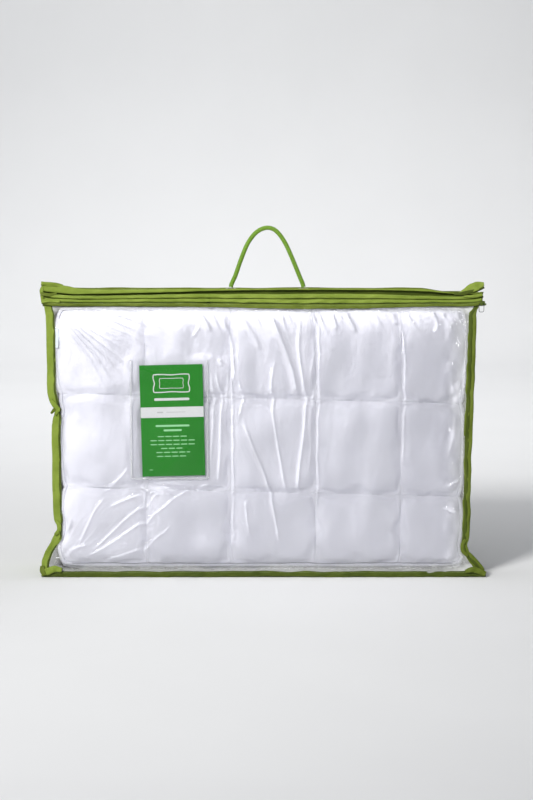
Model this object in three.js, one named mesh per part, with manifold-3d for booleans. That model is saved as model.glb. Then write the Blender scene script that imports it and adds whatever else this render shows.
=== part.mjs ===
// A quilted box pillow packed in a zipped carry bag: clear front, green fabric gussets, rope handle.
// Millimetres, +Z up. The origin is on the floor under the middle of the bag, and the clear front faces -Y.

import * as THREE from 'three';
import { mergeVertices } from 'three/addons/utils/BufferGeometryUtils.js';
import Module from 'manifold-3d';

const wasm = await Module();
wasm.setup();

// Driving dimensions of the bag
const SEAM_DEPTH = 57; // half the distance between the front and the back seams
const BAG_TOP = 471.5; // height of the fold lines of the top gusset
const BULGE_FRONT = 7; // how far the pillow pushes the front panel out past its seams
const BULGE_BACK = 10.6;
const FABRIC = 0.8; // thickness of the panels
const BINDING_WIDTH = 14;
const BINDING_THICKNESS = 2.5;
const FLOOR_BINDING = { low: 0.4, height: 12 };
const GAP = 0.5; // clearance between neighbouring pieces
const SEAM_STEPS = 32; // mesh steps up a seam, alike on the pieces that follow it
const PUCKER_WIDTH = 22;

// Half width of the bag, side by side: lower and upper stretch and the one-to-the-other change, the height
// range over which the floor corner spreads out, and the heights where the seam is puckered
const LEFT_SEAM = {
  side: -1, lower: 344.5, upper: 351.5, change: { from: 275, to: 305 },
  splay: { to: 373, full: 22, none: 76 }, puckers: [{ z: 285, depth: 3 }, { z: 84, depth: 3.5 }],
};
const RIGHT_SEAM = {
  side: 1, lower: 335.5, upper: 340, change: { from: 180, to: 420 },
  splay: { to: 368, full: 10, none: 46 }, puckers: [{ z: 55, depth: 3 }],
};
const MOUTH_CORNER = { half: 356, from: 442, to: 462 }; // both seams end here, under the zip's ends
const FLOOR_HALF = 373; // half length of the bindings along the floor

// Driving dimensions of the pillow: lines of quilting across and up, outer edges included
const QUILT_X = [-337.5, -198, -57, 85, 227, 327];
const QUILT_Z = [14, 143, 301, 454];
const QUILT_SLOPE = 0.028; // the rows drop a little from left to right
const QUILT_STEPS = 4; // mesh steps to a quilted box
const PILLOW_EDGE = 50; // half thickness at the piping
const PILLOW_MIDDLE = 54; // half thickness at the stitching, away from the edges
const PUFF = 7; // how far a quilted box stands above its stitching
const NOTCH = 5; // how far the outline is drawn in at the stitching
const FILL_HALF = 29.6;
const PIPING_RADIUS = 2.4;

// Driving dimensions of the zip, which lies along the top of the front
const ZIP = { z: 458, y: -58.8, left: -352, right: 361, coilRadius: 1.2, apart: 1.5 };
const SLIDER = { x: 355, length: 12, height: 7.4, plate: 0.9, inside: 3.6 };
const PULL = { y: -63, width: 8, length: 14, wire: 0.9 };

// Driving dimensions of the handle and of the card
const ROPE_DIAMETER = 8;
const ROPE_ROUTE = [
  [-56.4, 480.8], [-55.2, 485.5], [-52.4, 491.5], [-48.6, 500], [-43.6, 514.5], [-36.6, 533.7], [-28.4, 552.5],
  [-18.4, 567], [-7.5, 575.6],
  [4.8, 579],
  [16, 575.8], [25.6, 566.5], [34.6, 552.5], [43.4, 533.7], [51.4, 514.5], [59, 496], [62.6, 487.5], [64.6, 480.8],
]; // X and Z of the rope's middle line, from eyelet to eyelet
const EYELET = { hole: 5, wall: 0.7, flange: 9, sheet: 0.6 };
const CARD = { width: 104, height: 185, thickness: 0.6, x: -152, z: 265, tilt: 1.3 };
const POCKET = { width: 130, height: 199, x: -157, bottom: 166, back: -64.9, depth: 3.2, wall: 0.7 };

// Colours
const GREEN_LIGHT = 0x8fae4e;
const GREEN = 0x6c8a34;
const GREEN_DARK = 0x4c6420;
const ROPE_GREEN = 0x6fae28;
const WHITE = 0xf1f1f6;
const CLEAR = 0xdfe8ec;
const METAL = 0x9a9c9e;

const smooth = (x) => THREE.MathUtils.smoothstep(x, 0, 1);
const bell = (x, width) => Math.exp(-((x / width) ** 2));

const object = new THREE.Group();

function looks(color, roughness = 0.8, metalness = 0) {
  return new THREE.MeshStandardMaterial({ color, roughness, metalness });
}

function clearLooks() {
  return new THREE.MeshStandardMaterial({ color: CLEAR, roughness: 0.12, transparent: true, opacity: 0.3 });
}

function add(name, geometry, material) {
  const mesh = new THREE.Mesh(geometry, material);
  mesh.name = name;
  object.add(mesh);
  return mesh;
}

// --- Shaping ---

// A closed geometry with its vertices shared and each one moved by place(vector).
function shaped(geometry, place) {
  geometry.deleteAttribute('normal');
  geometry.deleteAttribute('uv');
  const merged = mergeVertices(geometry, 1e-4);
  const position = merged.attributes.position;
  const point = new THREE.Vector3();
  for (let i = 0; i < position.count; i += 1) {
    place(point.fromBufferAttribute(position, i));
    position.setXYZ(i, point.x, point.y, point.z);
  }
  return facingOut(merged);
}

// Turns every triangle over if the shape came out mirrored.
function facingOut(geometry) {
  const { position } = geometry.attributes;
  const index = geometry.index.array;
  const [a, b, c] = [new THREE.Vector3(), new THREE.Vector3(), new THREE.Vector3()];
  let volume = 0;
  for (let i = 0; i < index.length; i += 3) {
    a.fromBufferAttribute(position, index[i]);
    b.fromBufferAttribute(position, index[i + 1]);
    c.fromBufferAttribute(position, index[i + 2]);
    volume += a.dot(b.cross(c));
  }
  if (volume < 0) {
    for (let i = 0; i < index.length; i += 3) {
      [index[i], index[i + 1]] = [index[i + 1], index[i]];
    }
  }
  return geometry;
}

// A soft slab: place(u, v, layer) gives its points. u and v run from 0 to 1 over it, and layer is 0 on
// one face and 1 on the other. Both faces are split along the same diagonals, so a thin slab stays whole.
function slab(stepsU, stepsV, place) {
  const points = [];
  for (const layer of [0, 1]) {
    for (let j = 0; j <= stepsV; j += 1) {
      for (let i = 0; i <= stepsU; i += 1) {
        points.push(place(i / stepsU, j / stepsV, layer));
      }
    }
  }
  const at = (i, j, layer) => (layer * (stepsV + 1) + j) * (stepsU + 1) + i;
  const index = [];
  const quad = (a, b, c, d) => index.push(a, b, c, a, c, d);
  for (let j = 0; j < stepsV; j += 1) {
    for (let i = 0; i < stepsU; i += 1) {
      index.push(at(i, j, 0), at(i + 1, j + 1, 0), at(i + 1, j, 0), at(i, j, 0), at(i, j + 1, 0), at(i + 1, j + 1, 0));
      quad(at(i, j, 1), at(i + 1, j, 1), at(i + 1, j + 1, 1), at(i, j + 1, 1));
    }
  }
  for (let i = 0; i < stepsU; i += 1) {
    quad(at(i, 0, 0), at(i + 1, 0, 0), at(i + 1, 0, 1), at(i, 0, 1));
    quad(at(i, stepsV, 1), at(i + 1, stepsV, 1), at(i + 1, stepsV, 0), at(i, stepsV, 0));
  }
  for (let j = 0; j < stepsV; j += 1) {
    quad(at(0, j, 1), at(0, j + 1, 1), at(0, j + 1, 0), at(0, j, 0));
    quad(at(stepsU, j, 0), at(stepsU, j + 1, 0), at(stepsU, j + 1, 1), at(stepsU, j, 1));
  }
  const geometry = new THREE.BufferGeometry().setFromPoints(points);
  geometry.setIndex(new THREE.BufferAttribute(new Uint32Array(index), 1));
  return facingOut(geometry);
}

// A flat strip that follows route(t) in its own plane. acrossAt(t) is the direction of its width.
function strip(steps, route, acrossAt, width, through, thickness) {
  return slab(steps, 1, (t, side, layer) => route(t)
    .addScaledVector(acrossAt(t), (side - 0.5) * width)
    .addScaledVector(through, (layer - 0.5) * thickness));
}

function box(sizeX, sizeY, sizeZ, x, y, z) {
  return shaped(new THREE.BoxGeometry(sizeX, sizeY, sizeZ), (p) => p.add(new THREE.Vector3(x, y, z)));
}

function toSolid(geometry) {
  return new wasm.Manifold(new wasm.Mesh({
    numProp: 3,
    vertProperties: new Float32Array(geometry.attributes.position.array),
    triVerts: new Uint32Array(geometry.index.array),
  }));
}

function fromSolid(solid) {
  const mesh = solid.getMesh();
  const geometry = new THREE.BufferGeometry();
  geometry.setAttribute('position', new THREE.BufferAttribute(mesh.vertProperties, 3));
  geometry.setIndex(new THREE.BufferAttribute(mesh.triVerts, 1));
  return geometry;
}

// --- The bag's outline ---

// Half width of the bag at height z, measured to the middle of the seam.
function seamHalfWidth(seam, z) {
  const ramp = (low, high) => smooth((z - low) / (high - low));
  const straight = THREE.MathUtils.lerp(seam.lower, seam.upper, ramp(seam.change.from, seam.change.to));
  const corner = (MOUTH_CORNER.half - seam.upper) * ramp(MOUTH_CORNER.from, MOUTH_CORNER.to);
  const splay = (seam.splay.to - BINDING_WIDTH / 2 - seam.lower) * (1 - ramp(seam.splay.full, seam.splay.none));
  const pucker = seam.puckers.reduce((sum, p) => sum + p.depth * bell(z - p.z, PUCKER_WIDTH), 0);
  return straight + corner + splay - pucker;
}

// X at height z for u from 0 at the left seam to 1 at the right one, inset from both seams.
function acrossBag(u, z, inset) {
  const left = inset - seamHalfWidth(LEFT_SEAM, z);
  const right = seamHalfWidth(RIGHT_SEAM, z) - inset;
  return THREE.MathUtils.lerp(left, right, u);
}

// 0 on the edges of a panel and 1 over most of it.
function bulge(u, v) {
  return (1 - Math.abs(2 * u - 1) ** 6) * (1 - Math.abs(2 * v - 1) ** 6);
}

// --- Bag panels ---

// side is -1 for the front and 1 for the back.
function wallPanel(side, low, high, depth) {
  return slab(10, SEAM_STEPS, (u, v, layer) => {
    const z = THREE.MathUtils.lerp(low, high, v);
    const y = side * (SEAM_DEPTH + depth * bulge(u, v)) + (layer - 0.5) * FABRIC;
    return new THREE.Vector3(acrossBag(u, z, BINDING_WIDTH / 2 + GAP), y, z);
  });
}

function sideGusset(seam) {
  const low = 7.5;
  const high = BAG_TOP - 6.5;
  const half = SEAM_DEPTH - BINDING_THICKNESS / 2 - GAP;
  return slab(4, SEAM_STEPS, (u, v, layer) => {
    const z = THREE.MathUtils.lerp(low, high, v);
    const out = 3 * (1 - (2 * u - 1) ** 2) + (layer - 0.5) * FABRIC;
    return new THREE.Vector3(seam.side * (seamHalfWidth(seam, z) + out), (2 * u - 1) * half, z);
  });
}

function addPanels() {
  const low = FLOOR_BINDING.low + FLOOR_BINDING.height + GAP;
  add('front_panel', wallPanel(-1, low, 446, BULGE_FRONT), clearLooks());
  add('back_panel', wallPanel(1, low, BAG_TOP - 5, BULGE_BACK), looks(GREEN));
  add('side_gusset_left', sideGusset(LEFT_SEAM), looks(GREEN_LIGHT));
  add('side_gusset_right', sideGusset(RIGHT_SEAM), looks(GREEN_DARK));
  add('bottom_gusset', box(716, 108, FABRIC, 0, 0, FABRIC / 2), looks(GREEN_DARK));
}

// --- Bindings over the seams ---

const UP = new THREE.Vector3(0, 0, 1);
const BACK = new THREE.Vector3(0, 1, 0);
const RIGHT = new THREE.Vector3(1, 0, 0);

function uprightBinding(seam, y, high) {
  const low = FLOOR_BINDING.low + FLOOR_BINDING.height + GAP;
  const route = (t) => {
    const z = THREE.MathUtils.lerp(low, high, t);
    return new THREE.Vector3(seam.side * seamHalfWidth(seam, z), y, z);
  };
  return strip(SEAM_STEPS, route, () => RIGHT, BINDING_WIDTH, BACK, BINDING_THICKNESS);
}

function levelBinding(halfWidth, y, z, height) {
  const route = (t) => new THREE.Vector3((2 * t - 1) * halfWidth, y, z);
  return strip(6, route, () => UP, height, BACK, BINDING_THICKNESS);
}

function endBinding(x, z) {
  const half = SEAM_DEPTH - BINDING_THICKNESS / 2 - GAP;
  return box(5, 2 * half, 5, x, 0, z);
}

function addBindings() {
  const floorZ = FLOOR_BINDING.low + FLOOR_BINDING.height / 2;
  const levels = { front: -SEAM_DEPTH, back: SEAM_DEPTH };
  for (const [place, y] of Object.entries(levels)) {
    const high = place === 'front' ? 446 : BAG_TOP - 5;
    add(`binding_${place}_left`, uprightBinding(LEFT_SEAM, y, high), looks(GREEN_LIGHT));
    add(`binding_${place}_right`, uprightBinding(RIGHT_SEAM, y, high), looks(GREEN_DARK));
    add(`binding_${place}_bottom`, levelBinding(FLOOR_HALF, y, floorZ, FLOOR_BINDING.height), looks(GREEN_DARK));
  }
  add('binding_back_top', levelBinding(357, SEAM_DEPTH, BAG_TOP, 8), looks(GREEN));
  add('binding_bottom_left', endBinding(-365, 3.4), looks(GREEN_DARK));
  add('binding_bottom_right', endBinding(365, 3.4), looks(GREEN_DARK));
  add('binding_top_left', endBinding(-356, BAG_TOP - 3), looks(GREEN_LIGHT));
  add('binding_top_right', endBinding(356, BAG_TOP - 3), looks(GREEN));
}

// --- Top gusset, the flap that the zip opens ---

function topGusset() {
  const half = 351;
  const depth = 54.3;
  const sheet = slab(16, 6, (u, v, layer) => {
    const rise = 5 * (1 - (2 * v - 1) ** 2) * (1 - (2 * u - 1) ** 8);
    return new THREE.Vector3((2 * u - 1) * half, (2 * v - 1) * depth, BAG_TOP + rise + (layer - 0.5) * FABRIC);
  });
  return eyeletPlaces().reduce((solid, x) => {
    const punch = new THREE.CylinderGeometry(EYELET.hole + EYELET.wall + GAP, EYELET.hole + EYELET.wall + GAP, 20, 16);
    punch.rotateX(Math.PI / 2);
    return solid.subtract(toSolid(shaped(punch, (p) => p.add(new THREE.Vector3(x, 0, BAG_TOP + 5)))));
  }, toSolid(sheet));
}

function eyeletPlaces() {
  return [ROPE_ROUTE[0][0], ROPE_ROUTE[ROPE_ROUTE.length - 1][0]];
}

// A turned piece about an upright line at x, from a closed outline of [radius, height] points.
function turned(outline, x, z, sides) {
  const points = [...outline, outline[0]].map(([r, h]) => new THREE.Vector2(r, h));
  const lathe = new THREE.LatheGeometry(points, sides);
  lathe.rotateX(Math.PI / 2);
  return shaped(lathe, (p) => p.add(new THREE.Vector3(x, 0, z)));
}

function eyelet(x) {
  const { hole, wall, flange, sheet } = EYELET;
  const outer = hole + wall;
  const outline = [[hole, -1.2], [outer, -1.2], [outer, 0.9], [flange, 0.9], [flange, 0.9 + sheet], [hole, 0.9 + sheet]];
  return turned(outline, x, BAG_TOP + 5, 20);
}

function eyeletWasher(x) {
  const inner = EYELET.hole + EYELET.wall + 0.3;
  const outline = [[inner, -1.5], [EYELET.flange, -1.5], [EYELET.flange, -0.9], [inner, -0.9]];
  return turned(outline, x, BAG_TOP + 5, 20);
}

// The rope's end below the gusset: a neck through the eyelet over a fat knot.
function ropeKnot(x) {
  const outline = [[0, -14], [5, -13], [7.5, -10], [7.5, -7], [5, -3.5], [4, -2.5], [4, 0.8], [0, 0.8]];
  const points = outline.map(([r, h]) => new THREE.Vector2(r, h));
  const lathe = new THREE.LatheGeometry(points, 12);
  lathe.rotateX(Math.PI / 2);
  return shaped(lathe, (p) => p.add(new THREE.Vector3(x, 0, BAG_TOP + 4)));
}

// A short leaf of seam allowance that sticks out of a corner, wider at its foot than at its tip.
function cornerTab(foot, tip, y, width, thickness) {
  const along = tip.clone().sub(foot);
  const across = new THREE.Vector3(along.z, 0, -along.x).normalize();
  return slab(2, 4, (u, v, layer) => {
    const taper = 1 - 0.55 * v * v;
    const point = foot.clone().addScaledVector(along, v).addScaledVector(across, (u - 0.5) * width * taper);
    point.y = y + (layer - 0.5) * thickness + 2 * Math.sin(Math.PI * v);
    return point;
  });
}

function addTopFlap() {
  add('top_gusset', fromSolid(topGusset()), looks(GREEN_LIGHT));
  for (const [index, x] of eyeletPlaces().entries()) {
    const end = index === 0 ? 'left' : 'right';
    add(`eyelet_${end}`, eyelet(x), looks(METAL, 0.35, 1));
    add(`eyelet_washer_${end}`, eyeletWasher(x), looks(METAL, 0.35, 1));
    add(`rope_knot_${end}`, ropeKnot(x), looks(ROPE_GREEN));
  }
  const leftFoot = new THREE.Vector3(-360, 0, 453);
  add('corner_tab_left', cornerTab(leftFoot, new THREE.Vector3(-366, 0, 489), -64.4, 13, 1.2), looks(GREEN_LIGHT));
  const rightFoot = new THREE.Vector3(328, 0, 478.5);
  add('corner_tab_right', cornerTab(rightFoot, new THREE.Vector3(363, 0, 489), -40, 9, 1.2), looks(GREEN_LIGHT));
}

// --- Zip ---

// side is -1 for the lower half, which stays on the front, and 1 for the upper half on the flap.
function addZipHalf(side, name, right, green) {
  const length = right - ZIP.left;
  const middle = (right + ZIP.left) / 2;
  const tape = { inner: 3, outer: 11 };
  const facing = { inner: 4.5, outer: 11.5 };
  const coil = new THREE.CylinderGeometry(ZIP.coilRadius, ZIP.coilRadius, length, 8);
  coil.rotateZ(Math.PI / 2);
  const place = new THREE.Vector3(middle, ZIP.y, ZIP.z + side * ZIP.apart);
  add(`zip_coil_${name}`, shaped(coil, (p) => p.add(place)), looks(green, 0.5));
  const band = ({ inner, outer }, thickness, y) => {
    return box(length, thickness, outer - inner, middle, y, ZIP.z + side * (inner + outer) / 2);
  };
  add(`zip_tape_${name}`, band(tape, 0.6, ZIP.y), looks(green, 0.85));
  add(`zip_facing_${name}`, band(facing, FABRIC, ZIP.y - 1.2), looks(green));
}

// Two plates with the coils between them, the divider at the closing end, and the bridge for the pull.
function slider() {
  const { x, length, height, plate, inside } = SLIDER;
  const plateY = inside / 2 + plate / 2;
  const divider = { length: 2.5, height: 1, low: 0.3 };
  const bridge = { width: 4, depth: 3.3, height: 5.4, tunnelDepth: 1.8, tunnelHeight: 3.4 };
  const bridgeY = ZIP.y - inside / 2 - plate + 0.2 - bridge.depth / 2;
  const pieces = [
    box(length, plate, height, x, ZIP.y - plateY, ZIP.z),
    box(length, plate, height, x, ZIP.y + plateY, ZIP.z),
    box(divider.length, inside + plate, divider.height,
      x + (length - divider.length) / 2, ZIP.y, ZIP.z + divider.low + divider.height / 2),
    box(bridge.width, bridge.depth, bridge.height, x, bridgeY, ZIP.z),
  ].map(toSolid);
  const tunnel = toSolid(box(bridge.width + 2, bridge.tunnelDepth, bridge.tunnelHeight, x, PULL.y, ZIP.z));
  const joined = pieces.reduce((all, piece) => all.add(piece));
  return fromSolid(joined.subtract(tunnel));
}

// A thin wire bent to a long loop that hangs from the slider's bridge.
function pull() {
  const { width, length, wire, y } = PULL;
  const ring = new THREE.TorusGeometry(2, 0.5, 6, 20);
  return shaped(ring, (p) => {
    const angle = Math.atan2(p.y, p.x);
    const out = Math.hypot(p.x, p.y) - 2;
    const corner = (v) => Math.sign(v) * Math.abs(v) ** 0.45;
    const reach = new THREE.Vector3(corner(Math.cos(angle)) * width / 2, 0, corner(Math.sin(angle)) * length / 2);
    const outward = new THREE.Vector3(Math.cos(angle), 0, Math.sin(angle));
    const depth = p.z * wire;
    p.copy(reach).addScaledVector(outward, out * wire);
    p.add(new THREE.Vector3(SLIDER.x, y + depth, ZIP.z - length / 2));
  });
}

function addZip() {
  addZipHalf(-1, 'lower', ZIP.right, GREEN);
  addZipHalf(1, 'upper', SLIDER.x - SLIDER.length / 2 + 0.7, GREEN_LIGHT);
  const stopSize = 3;
  for (const [name, x] of [['left', ZIP.left - 1.4], ['right', ZIP.right + 1.3]]) {
    add(`zip_stop_${name}`, box(1.8, stopSize, stopSize, x, ZIP.y, ZIP.z - ZIP.apart), looks(METAL, 0.4, 1));
  }
  add('zip_slider', slider(), looks(METAL, 0.35, 1));
  add('zip_pull', pull(), looks(METAL, 0.35, 1));
}

// --- Rope handle ---

function addRope() {
  const route = ROPE_ROUTE.map(([x, z]) => new THREE.Vector3(x, 0, z));
  const section = new THREE.Shape();
  section.absarc(0, 0, ROPE_DIAMETER / 2, 0, 2 * Math.PI);
  const rope = new THREE.ExtrudeGeometry(section, {
    steps: 22,
    curveSegments: 10,
    extrudePath: new THREE.CatmullRomCurve3(route),
  });
  add('rope_handle', shaped(rope, (p) => p), looks(ROPE_GREEN));
}

// --- Insert card in its clear pocket ---

function addCard() {
  const { back, depth, wall, width, height, bottom } = POCKET;
  const shell = toSolid(box(width, depth, height, POCKET.x, back - depth / 2, bottom + height / 2));
  const hollow = toSolid(box(width - 2 * wall, depth, height,
    POCKET.x, back - depth / 2 + wall, bottom + wall + height / 2));
  add('card_pocket', fromSolid(shell.subtract(hollow)), clearLooks());
  const card = add('insert_card', box(CARD.width, CARD.thickness, CARD.height, 0, 0, 0), looks(0x3f9b4a, 0.6));
  card.position.set(CARD.x, back - (depth - wall) / 2, CARD.z);
  card.rotation.y = -THREE.MathUtils.degToRad(CARD.tilt);
}

// --- Pillow ---

// The value at place t, counted in quilted boxes, on a list of quilting lines.
function onLines(lines, t) {
  const cell = Math.min(Math.floor(t + 1e-6), lines.length - 2);
  return THREE.MathUtils.lerp(lines[cell], lines[cell + 1], t - cell);
}

// X and Z at s boxes across and t boxes up, moved in from the outline by inset.
function quiltPoint(s, t, inset) {
  const columns = QUILT_X.length - 1;
  const rows = QUILT_Z.length - 1;
  const u = 2 * s / columns - 1;
  const v = 2 * t / rows - 1;
  const middleX = (QUILT_X[0] + QUILT_X[columns]) / 2;
  const middleZ = (QUILT_Z[0] + QUILT_Z[rows]) / 2;
  const halfX = QUILT_X[columns] - middleX;
  const halfZ = QUILT_Z[rows] - middleZ;
  const notchX = NOTCH * (1 - Math.abs(Math.sin(Math.PI * t))) * u ** 8;
  const notchZ = NOTCH * (1 - Math.abs(Math.sin(Math.PI * s))) * v ** 8;
  const x = (onLines(QUILT_X, s) - middleX) * (1 - 0.035 * v ** 8 - (notchX + inset) / halfX);
  const z = (onLines(QUILT_Z, t) - middleZ) * (1 - 0.05 * u ** 8 - (notchZ + inset) / halfZ);
  return { x: middleX + x, z: middleZ + z - QUILT_SLOPE * x * (1 - v * v), u, v };
}

// Half thickness of the pillow at s boxes across and t boxes up.
function quiltHalf(s, t, u, v) {
  const body = (PILLOW_MIDDLE - PILLOW_EDGE) * (1 - Math.abs(u) ** 4) * (1 - Math.abs(v) ** 4);
  const box = Math.abs(Math.sin(Math.PI * s) * Math.sin(Math.PI * t)) ** 0.6;
  return PILLOW_EDGE + body + PUFF * box;
}

// One layer of the pillow. halfAt(layer, half) is the distance from the middle, given the skin's own.
function pillowLayer(side, inset, stepsToBox, halfAt) {
  const columns = QUILT_X.length - 1;
  const rows = QUILT_Z.length - 1;
  return slab(columns * stepsToBox, rows * stepsToBox, (a, b, layer) => {
    const { x, z, u, v } = quiltPoint(a * columns, b * rows, inset);
    return new THREE.Vector3(x, side * halfAt(layer, quiltHalf(a * columns, b * rows, u, v)), z);
  });
}

// A closed loop round the pillow's outline. section(out, along) gives the inset and Y of a section point.
function pillowLoop(sides, section) {
  const columns = QUILT_X.length - 1;
  const rows = QUILT_Z.length - 1;
  const steps = 2 * (columns + rows) * QUILT_STEPS;
  const ring = new THREE.TorusGeometry(2, 1, sides, steps);
  return shaped(ring, (p) => {
    const turn = (Math.atan2(p.y, p.x) / (2 * Math.PI) + 1) % 1;
    const walk = turn * 2 * (columns + rows);
    const corners = [[0, 0, 1, 0, columns], [columns, 0, 0, 1, rows], [columns, rows, -1, 0, columns], [0, rows, 0, -1, rows]];
    let left = walk;
    let [s, t] = [0, 0];
    for (const [startS, startT, stepS, stepT, length] of corners) {
      if (left <= length + 1e-6) {
        [s, t] = [startS + stepS * left, startT + stepT * left];
        break;
      }
      left -= length;
    }
    const { inset, y } = section(Math.hypot(p.x, p.y) - 2, p.z);
    const point = quiltPoint(THREE.MathUtils.clamp(s, 0, columns), THREE.MathUtils.clamp(t, 0, rows), inset);
    p.set(point.x, y, point.z);
  });
}

function piping(side) {
  return pillowLoop(5, (out, along) => ({ inset: -out * PIPING_RADIUS, y: side * (PILLOW_EDGE + along * PIPING_RADIUS) }));
}

function border() {
  const half = PILLOW_EDGE - PIPING_RADIUS - GAP;
  return pillowLoop(4, (out, along) => {
    const thick = Math.sign(Math.round((out - along) * 10) || 1);
    const wide = Math.sign(Math.round((out + along) * 10) || 1);
    return { inset: 1.6 - thick * 0.5, y: wide * half };
  });
}

function addPillow() {
  const thickness = 1;
  const skinGap = 0.4;
  for (const [name, side] of [['front', -1], ['back', 1]]) {
    add(`pillow_cover_${name}`, pillowLayer(side, 3.2, QUILT_STEPS, (layer, half) => half - layer * thickness), looks(WHITE));
    add(`pillow_wadding_${name}`, pillowLayer(side, 3.6, QUILT_STEPS / 2, (layer, half) => (
      layer > 0.5 ? FILL_HALF + skinGap : half - thickness - skinGap)), looks(WHITE));
    add(`pillow_piping_${name}`, piping(side), looks(WHITE));
  }
  add('pillow_border', border(), looks(WHITE));
  add('pillow_fill', pillowLayer(1, 4, 2, (layer) => FILL_HALF * (1 - 2 * layer)), looks(WHITE));
  add('care_label', box(7, FABRIC, 34, -343, -50, 399), looks(0xe8f0fb));
}

addPanels();
addBindings();
addTopFlap();
addZip();
addRope();
addCard();
addPillow();

export default object;
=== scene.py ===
"""A quilted box pillow in its zipped carry bag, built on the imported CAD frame. Metres, +Z up."""

import math

import bpy
import numpy as np
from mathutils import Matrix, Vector


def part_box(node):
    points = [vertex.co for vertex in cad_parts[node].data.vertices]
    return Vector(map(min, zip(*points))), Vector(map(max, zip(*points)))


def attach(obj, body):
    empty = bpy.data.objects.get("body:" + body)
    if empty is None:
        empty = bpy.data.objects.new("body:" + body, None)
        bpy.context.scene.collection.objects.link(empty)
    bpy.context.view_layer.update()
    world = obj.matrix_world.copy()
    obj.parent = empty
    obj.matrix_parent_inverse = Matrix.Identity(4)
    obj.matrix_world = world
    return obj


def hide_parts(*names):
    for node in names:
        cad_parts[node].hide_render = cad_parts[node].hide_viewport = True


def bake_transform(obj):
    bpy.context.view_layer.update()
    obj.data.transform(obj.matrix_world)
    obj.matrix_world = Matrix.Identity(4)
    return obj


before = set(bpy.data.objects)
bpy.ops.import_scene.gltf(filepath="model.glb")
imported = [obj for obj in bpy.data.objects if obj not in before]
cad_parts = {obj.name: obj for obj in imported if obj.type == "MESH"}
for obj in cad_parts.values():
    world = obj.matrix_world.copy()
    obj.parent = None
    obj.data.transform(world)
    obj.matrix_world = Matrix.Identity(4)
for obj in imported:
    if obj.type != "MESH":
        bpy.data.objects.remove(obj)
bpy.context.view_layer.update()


# --- Numbers and fields ---

def smooth(x):
    x = np.clip(x, 0, 1)
    return x * x * (3 - 2 * x)


def bell(x, width):
    return np.exp(-((x / width) ** 2))


def mix(a, b, t):
    return a + (b - a) * t


def ripples(a, b, size, seed, count=12):
    """A smooth random field over a and b, about one unit high, with waves about size long."""
    rng = np.random.default_rng(seed)
    total = 0
    for _ in range(count):
        turn = rng.uniform(0, 2 * math.pi)
        wave = size * rng.uniform(0.6, 1.7)
        across = a * math.cos(turn) + b * math.sin(turn)
        total = total + np.sin(across * 2 * math.pi / wave + rng.uniform(0, 2 * math.pi))
    return total / math.sqrt(count)


def along_line(points):
    """Distance from the first point to each of the points."""
    steps = np.linalg.norm(np.diff(points, axis=0), axis=1)
    return np.concatenate([[0], np.cumsum(steps)])


def resampled(points, count):
    """count points evenly spaced on a smooth curve through the given ones."""
    points = np.asarray(points, float)
    padded = np.vstack([2 * points[0] - points[1], points, 2 * points[-1] - points[-2]])
    fine = []
    for p0, p1, p2, p3 in zip(padded, padded[1:], padded[2:], padded[3:]):
        t = np.linspace(0, 1, 24, endpoint=False)[:, None]
        fine.append(0.5 * (2 * p1 + (p2 - p0) * t + (2 * p0 - 5 * p1 + 4 * p2 - p3) * t ** 2
                           + (3 * p1 - p0 - 3 * p2 + p3) * t ** 3))
    fine = np.vstack(fine + [points[-1:]])
    length = along_line(fine)
    want = np.linspace(0, length[-1], count)
    return np.stack([np.interp(want, length, fine[:, k]) for k in range(points.shape[1])], 1)


def path_of(x, y, z):
    """Points from three coordinates, any of which may be a single number."""
    return np.stack(np.broadcast_arrays(x, y, z), -1)


def points_of(mesh):
    return np.array([v.co for v in mesh.vertices])


def height_along(points, x):
    """Height at x on the smooth line through the points."""
    line = resampled(points, 80)
    return np.interp(x, line[:, 0], line[:, 1])


# --- Places taken from the frame ---

def seam_line(node):
    """Heights and middles, in X, of an upright binding."""
    points = points_of(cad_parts[node].data)
    heights = np.unique(points[:, 2].round(4))
    middles = [points[abs(points[:, 2] - z) < 1e-3, 0].mean() for z in heights]
    return heights, np.array(middles)


LEFT_SEAM = seam_line("binding_back_left")
RIGHT_SEAM = seam_line("binding_back_right")
FRONT_LOW, FRONT_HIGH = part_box("front_panel")
BACK_LOW, BACK_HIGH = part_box("back_panel")
GUSSET_LOW, GUSSET_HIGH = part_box("top_gusset")
BAND_LOW, BAND_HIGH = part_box("binding_front_left")
SIDE_LOW, SIDE_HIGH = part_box("side_gusset_left")
POCKET_LOW, POCKET_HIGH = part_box("card_pocket")
POCKET_MIDDLE, POCKET_SIZE = (POCKET_LOW + POCKET_HIGH) / 2, POCKET_HIGH - POCKET_LOW
CARD_LOW, CARD_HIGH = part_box("insert_card")
CARD_MIDDLE = (CARD_LOW + CARD_HIGH) / 2
COIL_LOW, COIL_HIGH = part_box("zip_coil_lower")
PIPING_LOW, PIPING_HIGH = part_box("pillow_piping_front")
SEAM_Y = (BAND_LOW.y + BAND_HIGH.y) / 2
TOP_Z = GUSSET_LOW.z
ZIP_Z = (COIL_HIGH.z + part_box("zip_coil_upper")[0].z) / 2

# Width of the side bindings, thickness of the green fabric, and how far panels stop short of the seams
BINDING, CLOTH, INSET = 0.015, 0.0007, 0.004
LEVEL, UPRIGHT = (1, 0, 0), (0, 0, 1)

# The pillow's quilting lines and edges
QUILT_X = np.array([-0.3335, -0.198, -0.057, 0.085, 0.227, 0.324])
QUILT_Z = np.array([0.0205, 0.143, 0.301, 0.4515])
QUILT_SLOPE = 0.028
PILLOW_EDGE = -(PIPING_LOW.y + PIPING_HIGH.y) / 2 + 0.0025
PILLOW_MIDDLE = PILLOW_EDGE + 0.002
PUFF = 0.0085

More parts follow.
